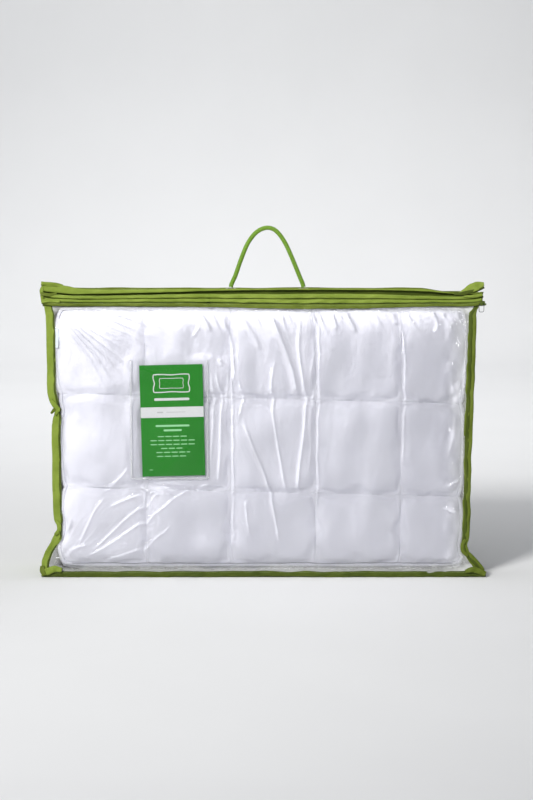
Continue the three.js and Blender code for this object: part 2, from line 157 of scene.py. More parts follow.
# The rope's middle line in metres, X and Z, from eyelet to eyelet
ROPE_ROUTE = [
    (-0.0564, 0.4808), (-0.0552, 0.4855), (-0.0524, 0.4915), (-0.0486, 0.500), (-0.0436, 0.5145),
    (-0.0366, 0.5337), (-0.0284, 0.5525), (-0.0184, 0.567), (-0.0075, 0.5756), (0.0048, 0.579),
    (0.016, 0.5758), (0.0256, 0.5665), (0.0346, 0.5525), (0.0434, 0.5337), (0.0514, 0.5145),
    (0.059, 0.496), (0.0626, 0.4875), (0.0646, 0.4808),
]
ROPE_DIAMETER = 0.008


def seam_x(side, z):
    heights, middles = LEFT_SEAM if side < 0 else RIGHT_SEAM
    return np.interp(z, heights, middles)


# --- Materials ---

class Nodes:
    """A node tree that is built up node by node."""

    def __init__(self, data):
        self.data = data
        data.use_nodes = True
        self.tree = data.node_tree

    def feed(self, socket, value):
        if isinstance(value, bpy.types.NodeSocket):
            self.tree.links.new(value, socket)
        else:
            socket.default_value = value

    def add(self, kind, inputs=None, **settings):
        node = self.tree.nodes.new(kind)
        for key, value in settings.items():
            setattr(node, key, value)
        for key, value in (inputs or {}).items():
            self.feed(node.inputs[key], value)
        return node

    def maths(self, operation, a, b=0.0, c=0.0):
        return self.add("ShaderNodeMath", {0: a, 1: b, 2: c}, operation=operation).outputs[0]

    def range(self, value, low, high, out_low=0.0, out_high=1.0):
        inputs = {"Value": value, "From Min": low, "From Max": high, "To Min": out_low, "To Max": out_high}
        return self.add("ShaderNodeMapRange", inputs, clamp=True).outputs[0]


class Material(Nodes):
    """A Principled material: tones gives it its colours, and relief its bumps."""

    def __init__(self, name, **inputs):
        super().__init__(bpy.data.materials.new(name))
        self.shader = self.tree.nodes["Principled BSDF"]
        self.place = self.add("ShaderNodeTexCoord").outputs["Object"]
        for key, value in inputs.items():
            self.set(key.replace("_", " ").title().replace("Ior", "IOR"), value)

    def set(self, name, value):
        self.feed(self.shader.inputs[name], value)

    def noise(self, scale, detail=2.0, roughness=0.5, stretch=None):
        place = self.place
        if stretch:
            place = self.add("ShaderNodeMapping", {"Vector": place, "Scale": stretch}).outputs[0]
        inputs = {"Vector": place, "Scale": scale, "Detail": detail, "Roughness": roughness}
        return self.add("ShaderNodeTexNoise", inputs).outputs["Fac"]

    def waves(self, direction, scale):
        inputs = {"Vector": self.place, "Scale": scale}
        return self.add("ShaderNodeTexWave", inputs, bands_direction=direction).outputs["Fac"]

    def blend(self, a, b, share):
        return self.maths("ADD", self.maths("MULTIPLY", a, 1 - share), self.maths("MULTIPLY", b, share))

    def bump(self, height, distance, strength=1.0, under=None):
        inputs = {"Height": height, "Distance": distance, "Strength": strength}
        if under is not None:
            inputs["Normal"] = under
        return self.add("ShaderNodeBump", inputs).outputs["Normal"]

    def tones(self, factor, dark, light, start=0.3, full=0.7):
        """Runs from the dark colour to the light one as the factor goes from start to full."""
        node = self.add("ShaderNodeValToRGB", {"Fac": factor})
        for element, position, color in zip(node.color_ramp.elements, (start, full), (dark, light)):
            element.position = position
            element.color = (*color, 1)
        self.set("Base Color", node.outputs["Color"])

    def relief(self, *bump):
        self.set("Normal", self.bump(*bump))
        return self.data


def dimmed(color, share):
    return [share * c for c in color]


def cotton():
    m = Material("cotton", roughness=0.9, sheen_weight=0.1, sheen_roughness=0.4, specular_ior_level=0.2)
    weave = m.maths("MULTIPLY", m.waves("X", 320), m.waves("Z", 320))
    m.tones(m.noise(9, 3), (0.7, 0.7, 0.765), (0.74, 0.74, 0.8))
    crinkle = m.bump(m.noise(55, 4, 0.6), 0.0008, 0.5)
    return m.relief(weave, 0.00012, 0.5, crinkle)


def thread(name, color):
    m = Material(name, roughness=0.6, sheen_weight=0.3)
    twist = m.waves("DIAGONAL", 900)
    m.tones(twist, dimmed(color, 0.8), color, 0.2, 0.8)
    return m.relief(twist, 0.00008)


def nonwoven(name, dark, light):
    """Spunbonded fabric: matted fibres with a fine grid of pressed points."""
    m = Material(name, roughness=0.6, sheen_weight=0.02, sheen_roughness=0.4, specular_ior_level=0.12)
    rows = m.maths("MULTIPLY", m.waves("Z", 170), m.waves("Y", 120))
    points = m.maths("MULTIPLY", m.waves("X", 170), rows)
    fibres = m.noise(900, 3, 0.7, (1, 1, 0.25))
    m.tones(m.blend(m.noise(22, 4, 0.6), fibres, 0.25), dark, light, 0.32, 0.68)
    m.set("Roughness", m.range(fibres, 0.3, 0.7, 0.5, 0.7))
    folds = m.bump(m.noise(38, 3, 0.55), 0.0022, 0.5)
    return m.relief(m.maths("ADD", points, fibres), 0.00018, 0.6, folds)


def woven_tape(name, dark, light):
    m = Material(name, roughness=0.75, sheen_weight=0.02, specular_ior_level=0.12)
    weave = m.maths("MULTIPLY", m.waves("X", 420), m.waves("Z", 300))
    m.tones(weave, dark, light, 0.1)
    return m.relief(weave, 0.00015, 0.8)


def clear_film(name, haze, crumple, reflection_bands=(), shine=0.75):
    """Clear vinyl: what lies behind shows through, with a mirror-like skin and a faint milky haze.

    reflection_bands lists where the milky veil grows, as a painted reflection of the grey sheen the film
    shows where it stands off the pillow: an axis, where that starts, where it is full, and how much."""
    m = Material(name)
    m.tree.nodes.remove(m.shader)
    wrinkles = m.bump(m.noise(24, 3, 0.5, (1, 1, 0.45)), 0.003 * crumple, 0.6)
    skin = {"Normal": m.bump(m.noise(160, 2, 0.5), 0.0004 * crumple, 0.5, wrinkles)}
    clear = m.add("ShaderNodeBsdfTransparent", {"Color": (0.985, 0.987, 0.99, 1)})
    gloss = m.add("ShaderNodeBsdfGlossy", {"Color": (1, 1, 1, 1), "Roughness": 0.055, **skin})
    milk = m.add("ShaderNodeBsdfDiffuse", {"Color": (0.8, 0.81, 0.8, 1), "Roughness": 1.0, **skin})
    veil = m.range(m.noise(30, 4, 0.6), 0.35, 0.75, haze * 0.5, haze * 1.6)
    ragged = m.maths("SUBTRACT", m.noise(34, 5, 0.7), 0.5)
    across = m.add("ShaderNodeSeparateXYZ", {"Vector": m.place})
    # painted reflection: the milky veil grows in each band, on top of the film's own faint haze
    for axis, start, full, amount in reflection_bands:
        reach = m.maths("MULTIPLY_ADD", ragged, (full - start) * 2.4, across.outputs[axis])
        veil = m.maths("ADD", veil, m.range(reach, start, full, 0.0, amount))
    hazy = m.add("ShaderNodeMixShader", {0: veil, 1: clear.outputs[0], 2: milk.outputs[0]})
    mirror = m.maths("MULTIPLY", m.add("ShaderNodeFresnel", {"IOR": 1.53, **skin}).outputs[0], shine)
    shown = m.add("ShaderNodeMixShader", {0: mirror, 1: hazy.outputs[0], 2: gloss.outputs[0]})
    m.feed(m.tree.nodes["Material Output"].inputs["Surface"], shown.outputs[0])
    return m.data


def rope_fibre():
    m = Material("rope_fibre", roughness=0.42, sheen_weight=0.1, sheen_roughness=0.3, specular_ior_level=0.35)
    fibres = m.noise(1400, 2, 0.6, (1, 1, 0.3))
    m.tones(fibres, (0.08, 0.175, 0.008), (0.19, 0.34, 0.03))
    return m.relief(fibres, 0.00015, 0.7)


def plated_metal(name, shade):
    m = Material(name, metallic=1.0)
    wear = m.noise(700, 3, 0.6)
    m.tones(wear, [shade * 0.7] * 3, [shade * 1.15] * 3)
    m.set("Roughness", m.range(wear, 0.3, 0.7, 0.22, 0.42))
    return m.relief(wear, 0.00005, 0.4)


def painted_metal():
    m = Material("painted_metal", metallic=0.3, roughness=0.35)
    wear = m.noise(500, 3, 0.6)
    m.tones(wear, (0.05, 0.08, 0.008), (0.1, 0.14, 0.02), 0.3, 0.75)
    return m.relief(wear, 0.00005, 0.4)


def coil_plastic():
    m = Material("coil_plastic", roughness=0.6)
    grain = m.noise(600, 2)
    m.tones(grain, (0.05, 0.085, 0.008), (0.08, 0.12, 0.014))
    return m.relief(grain, 0.00004, 0.5)


def printed_card():
    m = Material("printed_card", roughness=0.5, specular_ior_level=0.2)
    fibres = m.noise(500, 3, 0.6)
    m.tones(m.blend(m.noise(5, 2), fibres, 0.1), (0.007, 0.155, 0.007), (0.012, 0.2, 0.011))
    return m.relief(fibres, 0.00006, 0.5)


def print_ink(name, color):
    m = Material(name, roughness=0.5, specular_ior_level=0.2)
    fibres = m.noise(700, 2)
    m.tones(fibres, dimmed(color, 0.93), color)
    return m.relief(fibres, 0.00004, 0.4)


def studio_paper():
    m = Material("studio_paper", roughness=0.9)
    m.tones(m.noise(3, 2), (0.72, 0.725, 0.73), (0.735, 0.74, 0.745))
    return m.data


COTTON = cotton()
COTTON_THREAD = thread("cotton_thread", (0.8, 0.8, 0.84))
# dark grey ribbons that paint the shade in the sewn creases beside the piping
PAINTED_CREASE_SHADE = thread("crease_thread", (0.2, 0.2, 0.22))
GREEN_THREAD = thread("green_thread", (0.3, 0.43, 0.1))
# One green cloth in three copies that paint how the light falls on each part: lit, half shaded and shaded
GREEN_PAINTED_LIT = nonwoven("nonwoven_light", (0.133, 0.188, 0.022), (0.205, 0.27, 0.044))
GREEN_PAINTED_HALF_SHADE = nonwoven("nonwoven_mid", (0.076, 0.105, 0.01), (0.122, 0.158, 0.023))
GREEN_PAINTED_SHADE = nonwoven("nonwoven_dark", (0.038, 0.056, 0.006), (0.068, 0.092, 0.012))
TAPE = woven_tape("zip_tape_weave", (0.05, 0.075, 0.006), (0.1, 0.14, 0.016))
# the bands paint the grey reflection of the film along its margins and over the slack right end
FILM = clear_film("clear_film", 0.02, 1.0, [
    ("X", 0.300, 0.318, 0.16), ("X", 0.322, 0.334, 0.2), ("X", -0.336, -0.348, 0.3),
    ("Z", 0.441, 0.450, 0.34), ("Z", 0.023, 0.014, 0.32),
])
POCKET_FILM = clear_film("pocket_film", 0.003, 0.6, shine=0.4)
POCKET_WELD = clear_film("pocket_weld", 0.14, 0.4)
ROPE = rope_fibre()
METAL = plated_metal("plated_metal", 0.5)
DARK_WIRE = print_ink("dark_wire", (0.02, 0.021, 0.02))
PAINTED = painted_metal()
COIL = coil_plastic()
CARD_GREEN = printed_card()
INK_WHITE = print_ink("ink_white", (0.6, 0.61, 0.62))
INK_PALE = print_ink("ink_pale", (0.3, 0.62, 0.33))
INK_GREY = print_ink("ink_grey", (0.42, 0.43, 0.44))
LABEL = thread("label_satin", (0.78, 0.86, 0.95))

# The lit, half shaded and shaded copies of the green cloth, which paint light and shade, each with the CAD
# slot that it takes the place of
CLOTHS = {
    "light": (GREEN_PAINTED_LIT, "green_light"),
    "mid": (GREEN_PAINTED_HALF_SHADE, "green"),
    "dark": (GREEN_PAINTED_SHADE, "green_dark"),
}


# --- Mesh building ---

def mesh_object(name, points, faces, material, uv=None):
    mesh = bpy.data.meshes.new(name)
    mesh.from_pydata(np.asarray(points, float).reshape(-1, 3).tolist(), [], [list(f) for f in faces])
    mesh.materials.append(material)
    mesh.shade_smooth()
    if uv is not None:
        corner = np.empty(len(mesh.loops), np.int32)
        mesh.loops.foreach_get("vertex_index", corner)
        layer = mesh.uv_layers.new(name="UVMap")
        layer.data.foreach_set("uv", np.asarray(uv, np.float32).reshape(-1, 2)[corner].ravel())
    obj = bpy.data.objects.new(name, mesh)
    bpy.context.collection.objects.link(obj)
    return obj


def grid_faces(rows, columns, wrap=False):
    """Quads over a grid of points. wrap joins the last column to the first."""
    index = np.arange(rows * columns).reshape(rows, columns)
    if wrap:
        index = np.hstack([index, index[:, :1]])
    corners = [index[:-1, :-1], index[:-1, 1:], index[1:, 1:], index[1:, :-1]]
    return np.stack(corners, -1).reshape(-1, 4).tolist()


def surface(name, place, steps_u, steps_v, material, thickness=None):
    """A sheet whose points are place(u, v), with u and v from 0 to 1."""
    u, v = np.meshgrid(np.linspace(0, 1, steps_u + 1), np.linspace(0, 1, steps_v + 1))
    points = np.stack(np.broadcast_arrays(*place(u, v)), -1)
    obj = mesh_object(name, points, grid_faces(steps_v + 1, steps_u + 1), material, np.stack([u, v], -1))
    if thickness:
        modifier = obj.modifiers.new("thickness", "SOLIDIFY")
        modifier.thickness = thickness
        modifier.offset = 0
    return obj


def unit(vectors):
    return vectors / np.maximum(np.linalg.norm(vectors, axis=-1, keepdims=True), 1e-9)


def ribbon(name, path, across, width, thickness, material, crumple=0.0, seed=1,
           closed=False, sides=16, groove=0.0):
    """A soft flattened tube that follows path. across is the direction of its width."""
    path = np.asarray(path, float)
    count = len(path)
    ahead = unit(np.roll(path, -1, 0) - np.roll(path, 1, 0) if closed else np.gradient(path, axis=0))
    across = np.broadcast_to(np.asarray(across, float), path.shape)
    out = unit(np.cross(ahead, across))
    across = unit(np.cross(out, ahead))
    # the section is a flat oval, with a groove in both faces, to one side of the middle
    turn = np.linspace(0, 2 * math.pi, sides, endpoint=False)
    a = np.sign(np.cos(turn)) * abs(np.cos(turn)) ** 0.6
    b = np.sign(np.sin(turn)) * abs(np.sin(turn)) ** 0.9 * (1 - groove * bell(a + 0.35, 0.2))
    width = np.broadcast_to(width, count)[:, None]
    thickness = np.broadcast_to(thickness, count)[:, None]
    length = along_line(path)[:, None]
    lift = crumple * ripples(length, a * width * 1.5, 0.02, seed)
    points = (path[:, None] + across[:, None] * (a * width / 2)[..., None]
              + out[:, None] * (b * thickness / 2 + lift)[..., None])
    faces = grid_faces(count, sides, wrap=True)
    tip = count * sides
    last = tip - sides
    round_end = [(k, (k + 1) % sides) for k in range(sides)]
    if closed:
        faces += [[last + k, last + n, n, k] for k, n in round_end]
        return mesh_object(name, points, faces, material)
    points = np.vstack([points.reshape(-1, 3), path[:1], path[-1:]])
    faces += [[tip, n, k] for k, n in round_end]
    faces += [[tip + 1, last + k, last + n] for k, n in round_end]
    return mesh_object(name, points, faces, material)


def stitches(name, lines, material, pitch=0.0036, length=0.0026, radius=0.0003):
    """Short spindles of thread along each line of points."""
    points, faces = [], []
    for line in lines:
        line = np.asarray(line, float)
        distance = along_line(line)
        for start in np.arange(pitch / 2, distance[-1] - pitch / 2, pitch):
            ends = [start - length / 2, start, start + length / 2]
            a, middle, b = np.stack([np.interp(ends, distance, line[:, k]) for k in range(3)], 1)
            ahead = unit(b - a)
            side = unit(np.cross(ahead, [0.3, 0.9, 0.2]))
            up = np.cross(side, ahead)
            first = len(points) + 1
            points += [a, *(middle + radius * way for way in (side, up, -side, -up)), b]
            for k in range(4):
                here, following = first + k, first + (k + 1) % 4
                faces.append([first - 1, following, here])
                faces.append([first + 4, here, following])
    return mesh_object(name, points, faces, material)


def stand_for(obj, slot, *nodes):
    if nodes:
        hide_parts(*nodes)
    return obj


def piece(obj, slot, *nodes, body="bag"):
    """Rides on a body and stands for CAD nodes, which it hides. The slot is not used."""
    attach(obj, body)
    return stand_for(obj, slot, *nodes)


def mouth_piece(obj, slot, *nodes):
    """A piece of the bag's top, with its place baked into its points, standing for CAD nodes."""
    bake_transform(obj)
    return stand_for(obj, slot, *nodes)


def panel(name, place, steps, material, slot, node, flat, rests_on="pillow", thickness=CLOTH, fit=piece):
    """One of the bag's walls: a sheet that is sewn or welded in all round, in place of its CAD node."""
    sheet = surface(name, place, *steps, material, thickness)
    fit(sheet, slot, node)


# --- Camera, light and floor ---

def aimed(name, data, place, target):
    """Puts a camera or a lamp in its place, facing the target."""
    obj = bpy.data.objects.new(name, data)
    bpy.context.collection.objects.link(obj)
    obj.location = place
    obj.rotation_euler = (Vector(target) - obj.location).to_track_quat("-Z", "Y").to_euler()
    return obj


def add_camera():
    """Straight in front of the bag and a little above it, looking slightly down."""
    data = bpy.data.cameras.new("camera")
    data.lens = 93.5
    distance, height, aim = 3.4, 0.73, 0.298
    place, target = (0.003, SEAM_Y - distance, height), (0.003, SEAM_Y, aim)
    bpy.context.scene.camera = aimed("camera", data, place, target)


def add_lamp(name, place, target, size, power, color=(1, 1, 1), spread=180):
    data = bpy.data.lights.new(name, "AREA")
    data.shape = "RECTANGLE"
    data.size, data.size_y = size
    data.energy = power
    data.spread = math.radians(spread)
    data.color = color
    aimed(name, data, place, target)


def add_world():
    """The room is dark behind the camera, brighter beyond the object and brightest above it."""
    world = Nodes(bpy.data.worlds.new("studio"))
    toward = world.add("ShaderNodeTexCoord").outputs["Generated"]
    parts = world.add("ShaderNodeSeparateXYZ", {"Vector": toward}).outputs
    upward = world.maths("MULTIPLY_ADD", parts["Z"], 2.2, parts["Y"])
    dimmest, brightest = 0.05, 0.475
    background = world.tree.nodes["Background"].inputs
    world.feed(background["Color"], (0.94, 0.955, 1, 1))
    world.feed(background["Strength"], world.range(upward, -1.2, 2.0, dimmest, brightest))
    bpy.context.scene.world = world.data


def add_studio():
    bpy.context.scene.view_settings.view_transform = "Standard"
    add_world()
    add_lamp("key", (-1.7, -2.9, 2.35), (0.02, 0, 0.52), (0.8, 0.8), 19.8, (1, 0.99, 0.97), spread=58)
    # narrow strips that the creases of the film pick up as crisp streaks
    add_lamp("strip_above", (-0.5, -2.6, 1.55), (0, 0, 0.3), (1.5, 0.07), 9)
    add_lamp("strip_left", (-1.25, -2.9, 0.75), (0, 0, 0.3), (0.08, 1.2), 7)
    add_lamp("strip_right", (1.3, -2.9, 0.9), (0, 0, 0.3), (0.07, 1.2), 5)
    add_lamp("backdrop", (-0.6, 1.2, 3.2), (-0.4, 2.8, 0.8), (3, 1.5), 45, spread=110)
    # the paper runs level under the bag and bends up into a wall behind it
    angles = np.linspace(0, math.pi / 2, 14)
    bend = [(3.0 + math.sin(a), 1 - math.cos(a)) for a in angles]
    section = [(-6, 0), (-1, 0), (1, 0)] + bend + [(4, 5)]
    points = [(x, y, z) for y, z in section for x in np.linspace(-5, 5, 5)]
    mesh_object("studio_floor", points, grid_faces(len(section), 5), studio_paper())


# --- Pillow ---

def on_lines(lines, t):
    cell = np.clip(np.floor(t + 1e-6).astype(int), 0, len(lines) - 2)
    return mix(lines[cell], lines[cell + 1], t - cell)


def quilt_point(s, t, inset):
    """X, Z and the two edge coordinates, -1 to 1, at s boxes across and t boxes up, moved in by inset."""
    columns, rows = len(QUILT_X) - 1, len(QUILT_Z) - 1
    u, v = 2 * s / columns - 1, 2 * t / rows - 1
    middle_x, middle_z = (QUILT_X[0] + QUILT_X[-1]) / 2, (QUILT_Z[0] + QUILT_Z[-1]) / 2
    half_x, half_z = QUILT_X[-1] - middle_x, QUILT_Z[-1] - middle_z
    notch_x = 0.008 * (1 - abs(np.sin(math.pi * t)) ** 0.6) * abs(u) ** 10
    notch_z = 0.0006 * (1 - abs(np.sin(math.pi * s)) ** 0.6) * abs(v) ** 8
    x = (on_lines(QUILT_X, s) - middle_x) * (1 - 0.012 * v ** 14 - (notch_x + inset) / half_x)
    z = (on_lines(QUILT_Z, t) - middle_z) * (1 - 0.013 * u ** 14 - (notch_z + inset) / half_z)
    z = middle_z + z - QUILT_SLOPE * x * (1 - v * v)
    # both ends fill the bag, which is drawn in lower down
    gap, far_left, far_right = 0.0065, -0.345, 0.3345
    left = np.maximum(seam_x(-1, z) + gap, far_left) - QUILT_X[0]
    right = np.minimum(seam_x(1, z) - gap, far_right) - QUILT_X[-1]
    x = middle_x + x + np.where(u < 0, left, right) * abs(u) ** 8
    return x, z, u, v


def quilt_half(s, t, u, v):
    body = (PILLOW_MIDDLE - PILLOW_EDGE) * (1 - abs(u) ** 5) * (1 - abs(v) ** 5)
    puff = abs(np.sin(math.pi * s) * np.sin(math.pi * t)) ** 0.34
    return PILLOW_EDGE + body + PUFF * puff


def film_depth(x, z):
    """How far in front of the middle plane the clear front lies, before its creases."""
    left, right = seam_x(-1, z), seam_x(1, z)
    u = (x - left) / (right - left)
    v = (z - FRONT_LOW.z) / (FRONT_HIGH.z - FRONT_LOW.z)
    # the high powers keep it flat over the pillow and steep at its seams
    rise = (1 - abs(2 * u - 1) ** 7) * (1 - abs(2 * np.clip(v, 0, 1) - 1) ** 14)
    return -SEAM_Y + (SEAM_Y - FRONT_LOW.y - 0.0004) * rise


def back_depth(x, z):
    """How far behind the middle plane the creased back of the bag lies, puffed out by the pillow."""
    left, right = seam_x(-1, z) + INSET, seam_x(1, z) - INSET
    u = np.clip((x - left) / (right - left), 0, 1)
    v = np.clip((z - BACK_LOW.z) / (BACK_HIGH.z - BACK_LOW.z), 0, 1)
    rise = (1 - abs(2 * u - 1) ** 7) * (1 - abs(2 * v - 1) ** 9)
    creases = 0.0008 * ripples(x, z, 0.11, 31) + 0.0005 * ripples(x * 0.5, z, 0.04, 32)
    return -SEAM_Y + rise * (BACK_HIGH.y + SEAM_Y - 0.0018 + creases)


PILLOW_STEPS = 18
COLUMNS, ROWS = 5 * PILLOW_STEPS + 1, 3 * PILLOW_STEPS + 1


def pillow_perimeter():
    """Grid indices round the edge of the pillow's face, in order."""
    index = np.arange(ROWS * COLUMNS).reshape(ROWS, COLUMNS)
    return np.concatenate([index[0, :-1], index[:-1, -1], index[-1, :0:-1], index[:0:-1, 0]])


def crowded(t):
    """Moves evenly spaced grid lines closer to the quilting."""
    return t - 0.75 / (2 * math.pi) * np.sin(2 * math.pi * t)


def pillow_mesh():
    """Two quilted faces with a rolled border between them, and the points that the quilting holds."""
    s, t = np.meshgrid(crowded(np.linspace(0, 5, COLUMNS)), crowded(np.linspace(0, 3, ROWS)))
    x, z, u, v = quilt_point(s, t, 0.0022)
    front = path_of(x, -quilt_half(s, t, u, v), z).reshape(-1, 3)
    back = front * [1, -1, 1]
    edge = pillow_perimeter()
    count = len(front)
    layers = 14
    middle = front.mean(0) * [1, 0, 1]
    border = []
    for k in range(1, layers):
        # a squarish roll, which sags under the pillow
        turn = math.pi * k / layers
        forward = math.copysign(abs(math.cos(turn)) ** 0.25, math.cos(turn))
        ring = front[edge] * [1, 0, 1]
        below = ring[:, 2:] < middle[2]
        roll = np.hstack([np.full(below.shape, 0.0058), 0 * below, np.where(below, 0.0175, 0.0035)])
        ring = ring + unit(ring - middle) * roll * math.sin(turn) ** 0.3
        ring[:, 1] = front[edge, 1] * forward
        border.append(ring)
    faces = grid_faces(ROWS, COLUMNS)
    faces += [[a + count, d + count, c + count, b + count] for a, b, c, d in faces]
    between = [2 * count + k * len(edge) + np.arange(len(edge)) for k in range(layers - 1)]
    rings = [edge, *between, edge + count]
    for low, high in zip(rings, rings[1:]):
        for k in range(len(edge)):
            n = (k + 1) % len(edge)
            faces.append([low[k], high[k], high[n], low[n]])
    held = (abs(s - s.round()) < 1e-6) | (abs(t - t.round()) < 1e-6)
    pinned = np.flatnonzero(held.ravel())
    obj = mesh_object("pillow", np.vstack([front, back, *border]), faces, COTTON)
    return obj, np.concatenate([pinned, pinned + count])


PILLOW_CLOTH = {
    "quality": 5, "mass": 0.25, "tension_stiffness": 12, "compression_stiffness": 12, "shear_stiffness": 6,
    "bending_stiffness": 0.15, "vertex_group_mass": "pin", "shrink_min": -0.035, "use_pressure": True,
    "uniform_pressure_force": 3.5,
}


def inflate(obj, pinned, cap):
    """Blows the cloth up between its seams, then keeps every point within cap of where it started."""
    start = points_of(obj.data)
    group = obj.vertex_groups.new(name="pin")
    group.add(pinned.tolist(), 1.0, "REPLACE")
    cloth = obj.modifiers.new("cloth", "CLOTH")
    for key, value in PILLOW_CLOTH.items():
        setattr(cloth.settings, key, value)
    cloth.settings.effector_weights.gravity = 0
    cloth.collision_settings.use_collision = False
    scene = bpy.context.scene
    frames = 20
    scene.frame_start, scene.frame_end = 1, frames
    for number in range(1, frames + 1):
        scene.frame_set(number)
    step = points_of(obj.evaluated_get(bpy.context.evaluated_depsgraph_get()).data) - start
    obj.modifiers.remove(cloth)
    scene.frame_set(1)
    size = np.linalg.norm(step, axis=1, keepdims=True)
    return start + step * np.minimum(1, cap / np.maximum(size, 1e-9))


def corner_tuck(y, z):
    """How far the rear right corner of the floor is folded in, from nothing at the front seam."""
    deepest, height = 0.022, 0.06
    return deepest * smooth((y + 0.045) / 0.08) * smooth((height - z) / 0.035)


def soft_limit(value, limit, softness=0.0008):
    """Like the smaller of the two, with a rounded corner."""
    return -softness * np.logaddexp(-value / softness, -limit / softness)


def within_bag(points):
    """Presses the pillow softly flat where it would come through the bag."""
    front_gap, back_gap, side_gap = 0.0016, 0.0022, 0.0045
    x, y, z = points.T
    depth = np.where(y < 0, film_depth(x, z) - front_gap, back_depth(x, z) - back_gap)
    y = np.sign(y) * soft_limit(abs(y), depth)
    x = soft_limit(x, seam_x(1, z) - side_gap - corner_tuck(y, z))
    x = -soft_limit(-x, -seam_x(-1, z) - side_gap)
    return path_of(x, y, z)


def puckered(points):
    """Adds the short gathers that run across every line of quilting."""
    x, z = points[:, 0], points[:, 2]
    level = z + QUILT_SLOPE * x
    total = 0
    ways = ((QUILT_X, z, x, 0.0155, 201), (QUILT_Z, x, level, 0.0165, 203))
    for lines, along, across, pitch, seed in ways:
        for line in lines[1:-1]:
            gather = np.sin(2 * math.pi * (along + 0.004 * ripples(along, line, 0.05, seed)) / pitch)
            strength = 0.6 + 0.4 * ripples(along, line, 0.06, seed + 1)
            total = total + gather * bell(across - line, 0.012) * strength
    slack = 0.0003 * ripples(x, z, 0.05, 205) + 0.00015 * ripples(x, z, 0.02, 206)
    on_face = smooth(abs(points[:, 1]) / 0.03 - 0.6)
    out = points.copy()
    out[:, 1] += np.sign(points[:, 1]) * on_face * (0.0003 * total + slack)
    return out


def add_pillow():
    obj, pinned = pillow_mesh()
    points = points_of(obj.data)
    points = inflate(obj, pinned, 0.0035)
    set_points(obj.data, points)
    crease = obj.data.attributes.new("crease_edge", "FLOAT", "EDGE")
    both = np.zeros(len(points), bool)
    both[pinned] = True
    ends = np.array([e.vertices for e in obj.data.edges])
    crease.data.foreach_set("value", np.where(both[ends].all(1), 0.9, 0).astype(np.float32))
    obj.modifiers.new("smooth", "SUBSURF").levels = 1
    finer = bpy.data.meshes.new_from_object(obj.evaluated_get(bpy.context.evaluated_depsgraph_get()))
    obj.modifiers.clear()
    obj.data = finer
    points = within_bag(puckered(points_of(finer)))
    set_points(finer, points)
    piece(obj, "pillow_fabric", "pillow_cover_front", "pillow_cover_back", "pillow_border",
          "pillow_wadding_front", "pillow_wadding_back", "pillow_fill")
    faces = points[:2 * ROWS * COLUMNS].reshape(2, ROWS, COLUMNS, 3)
    for name, side, face in (("front", 1, faces[0]), ("back", -1, faces[1])):
        add_piping(name, side)
        add_quilting(name, side, face)
    add_label()


def set_points(mesh, points):
    mesh.vertices.foreach_set("co", points.astype(np.float32).ravel())
    mesh.update()


def add_piping(name, side):
    """The cord round one face, and thin dark grey ribbons on both sides of it where it shows below the face,
    which paint the shade in the sewn creases.
    """
    walk = np.linspace(0, 16, 640, endpoint=False)
    sides = [walk < 5, walk < 8, walk < 13]
    s = np.clip(np.select(sides, [walk, 5, 13 - walk], 0), 0, 5)
    t = np.clip(np.select(sides, [0, walk - 5, 3], 16 - walk), 0, 3)
    x, z, _, _ = quilt_point(s, t, 0)
    y = -side * PILLOW_EDGE
    path = path_of(soft_limit(x, seam_x(1, z) - 0.008 - corner_tuck(y, z)), y, z)
    distance = along_line(path)
    width = 0.0058 * (1 + 0.12 * np.sin(distance * 900) * ripples(distance, 0, 0.03, 5))
    cord = ribbon(f"piping_{name}", path, (0, 1, 0), width, width, COTTON, closed=True, sides=10)
    piece(cord, "pillow_fabric", f"pillow_piping_{name}")
    x = np.linspace(QUILT_X[0] + 0.012, QUILT_X[-1] - 0.012, 300)
    # painted shade: thin dark ribbons stand for the shade in the creases
    for edge, seed in ((0.0034, 7), (-0.0036, 8)):
        z = QUILT_Z[0] + edge + 0.0007 * ripples(x, 0, 0.07, seed) + 0.0003 * ripples(x, 0, 0.02, seed + 2)
        y = -side * np.minimum(film_depth(x, z) - 0.0009, PILLOW_EDGE + 0.0040)
        crease = ribbon(f"piping_painted_shade_{name}_{seed}", path_of(x, y, z), UPRIGHT, 0.0008, 0.0005,
                        PAINTED_CREASE_SHADE, 0.0002, seed)
        piece(crease, "pillow_fabric")


def add_quilting(name, side, face):
    """Rows of stitches along the quilting lines, just proud of one face."""
    lines = [*face[PILLOW_STEPS:-1:PILLOW_STEPS], *face[:, PILLOW_STEPS:-1:PILLOW_STEPS].swapaxes(0, 1)]
    lines = [line - [0, 0.0004 * side, 0] for line in lines]
    piece(stitches(f"quilting_{name}", lines, COTTON_THREAD, 0.0034), "pillow_fabric")


def add_label():
    """A satin ribbon folded double, its loop standing out of the piped seam in front of the pillow."""
    low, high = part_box("care_label")
    seam = seam_x(-1, (low.z + high.z) / 2) + 0.0005
    reach, drop = 0.0125, 0.033

    def place(u, v):
        out = abs(2 * u - 1)
        x = seam + reach * (1 - out) + 0.0006 * np.sin(v * 5)
        z = high.z - drop * v + 0.001 * (1 - out)
        behind = 0.0018 + 0.0005 * np.sign(u - 0.5) * np.sqrt(out) + 0.0005 * np.sin(v * 4) * (1 - out)
        return x, behind - film_depth(x, z), z

    label = surface("care_label_ribbon", place, 24, 20, LABEL, 0.0002)
    piece(label, "label", "care_label")


# --- Clear front ---

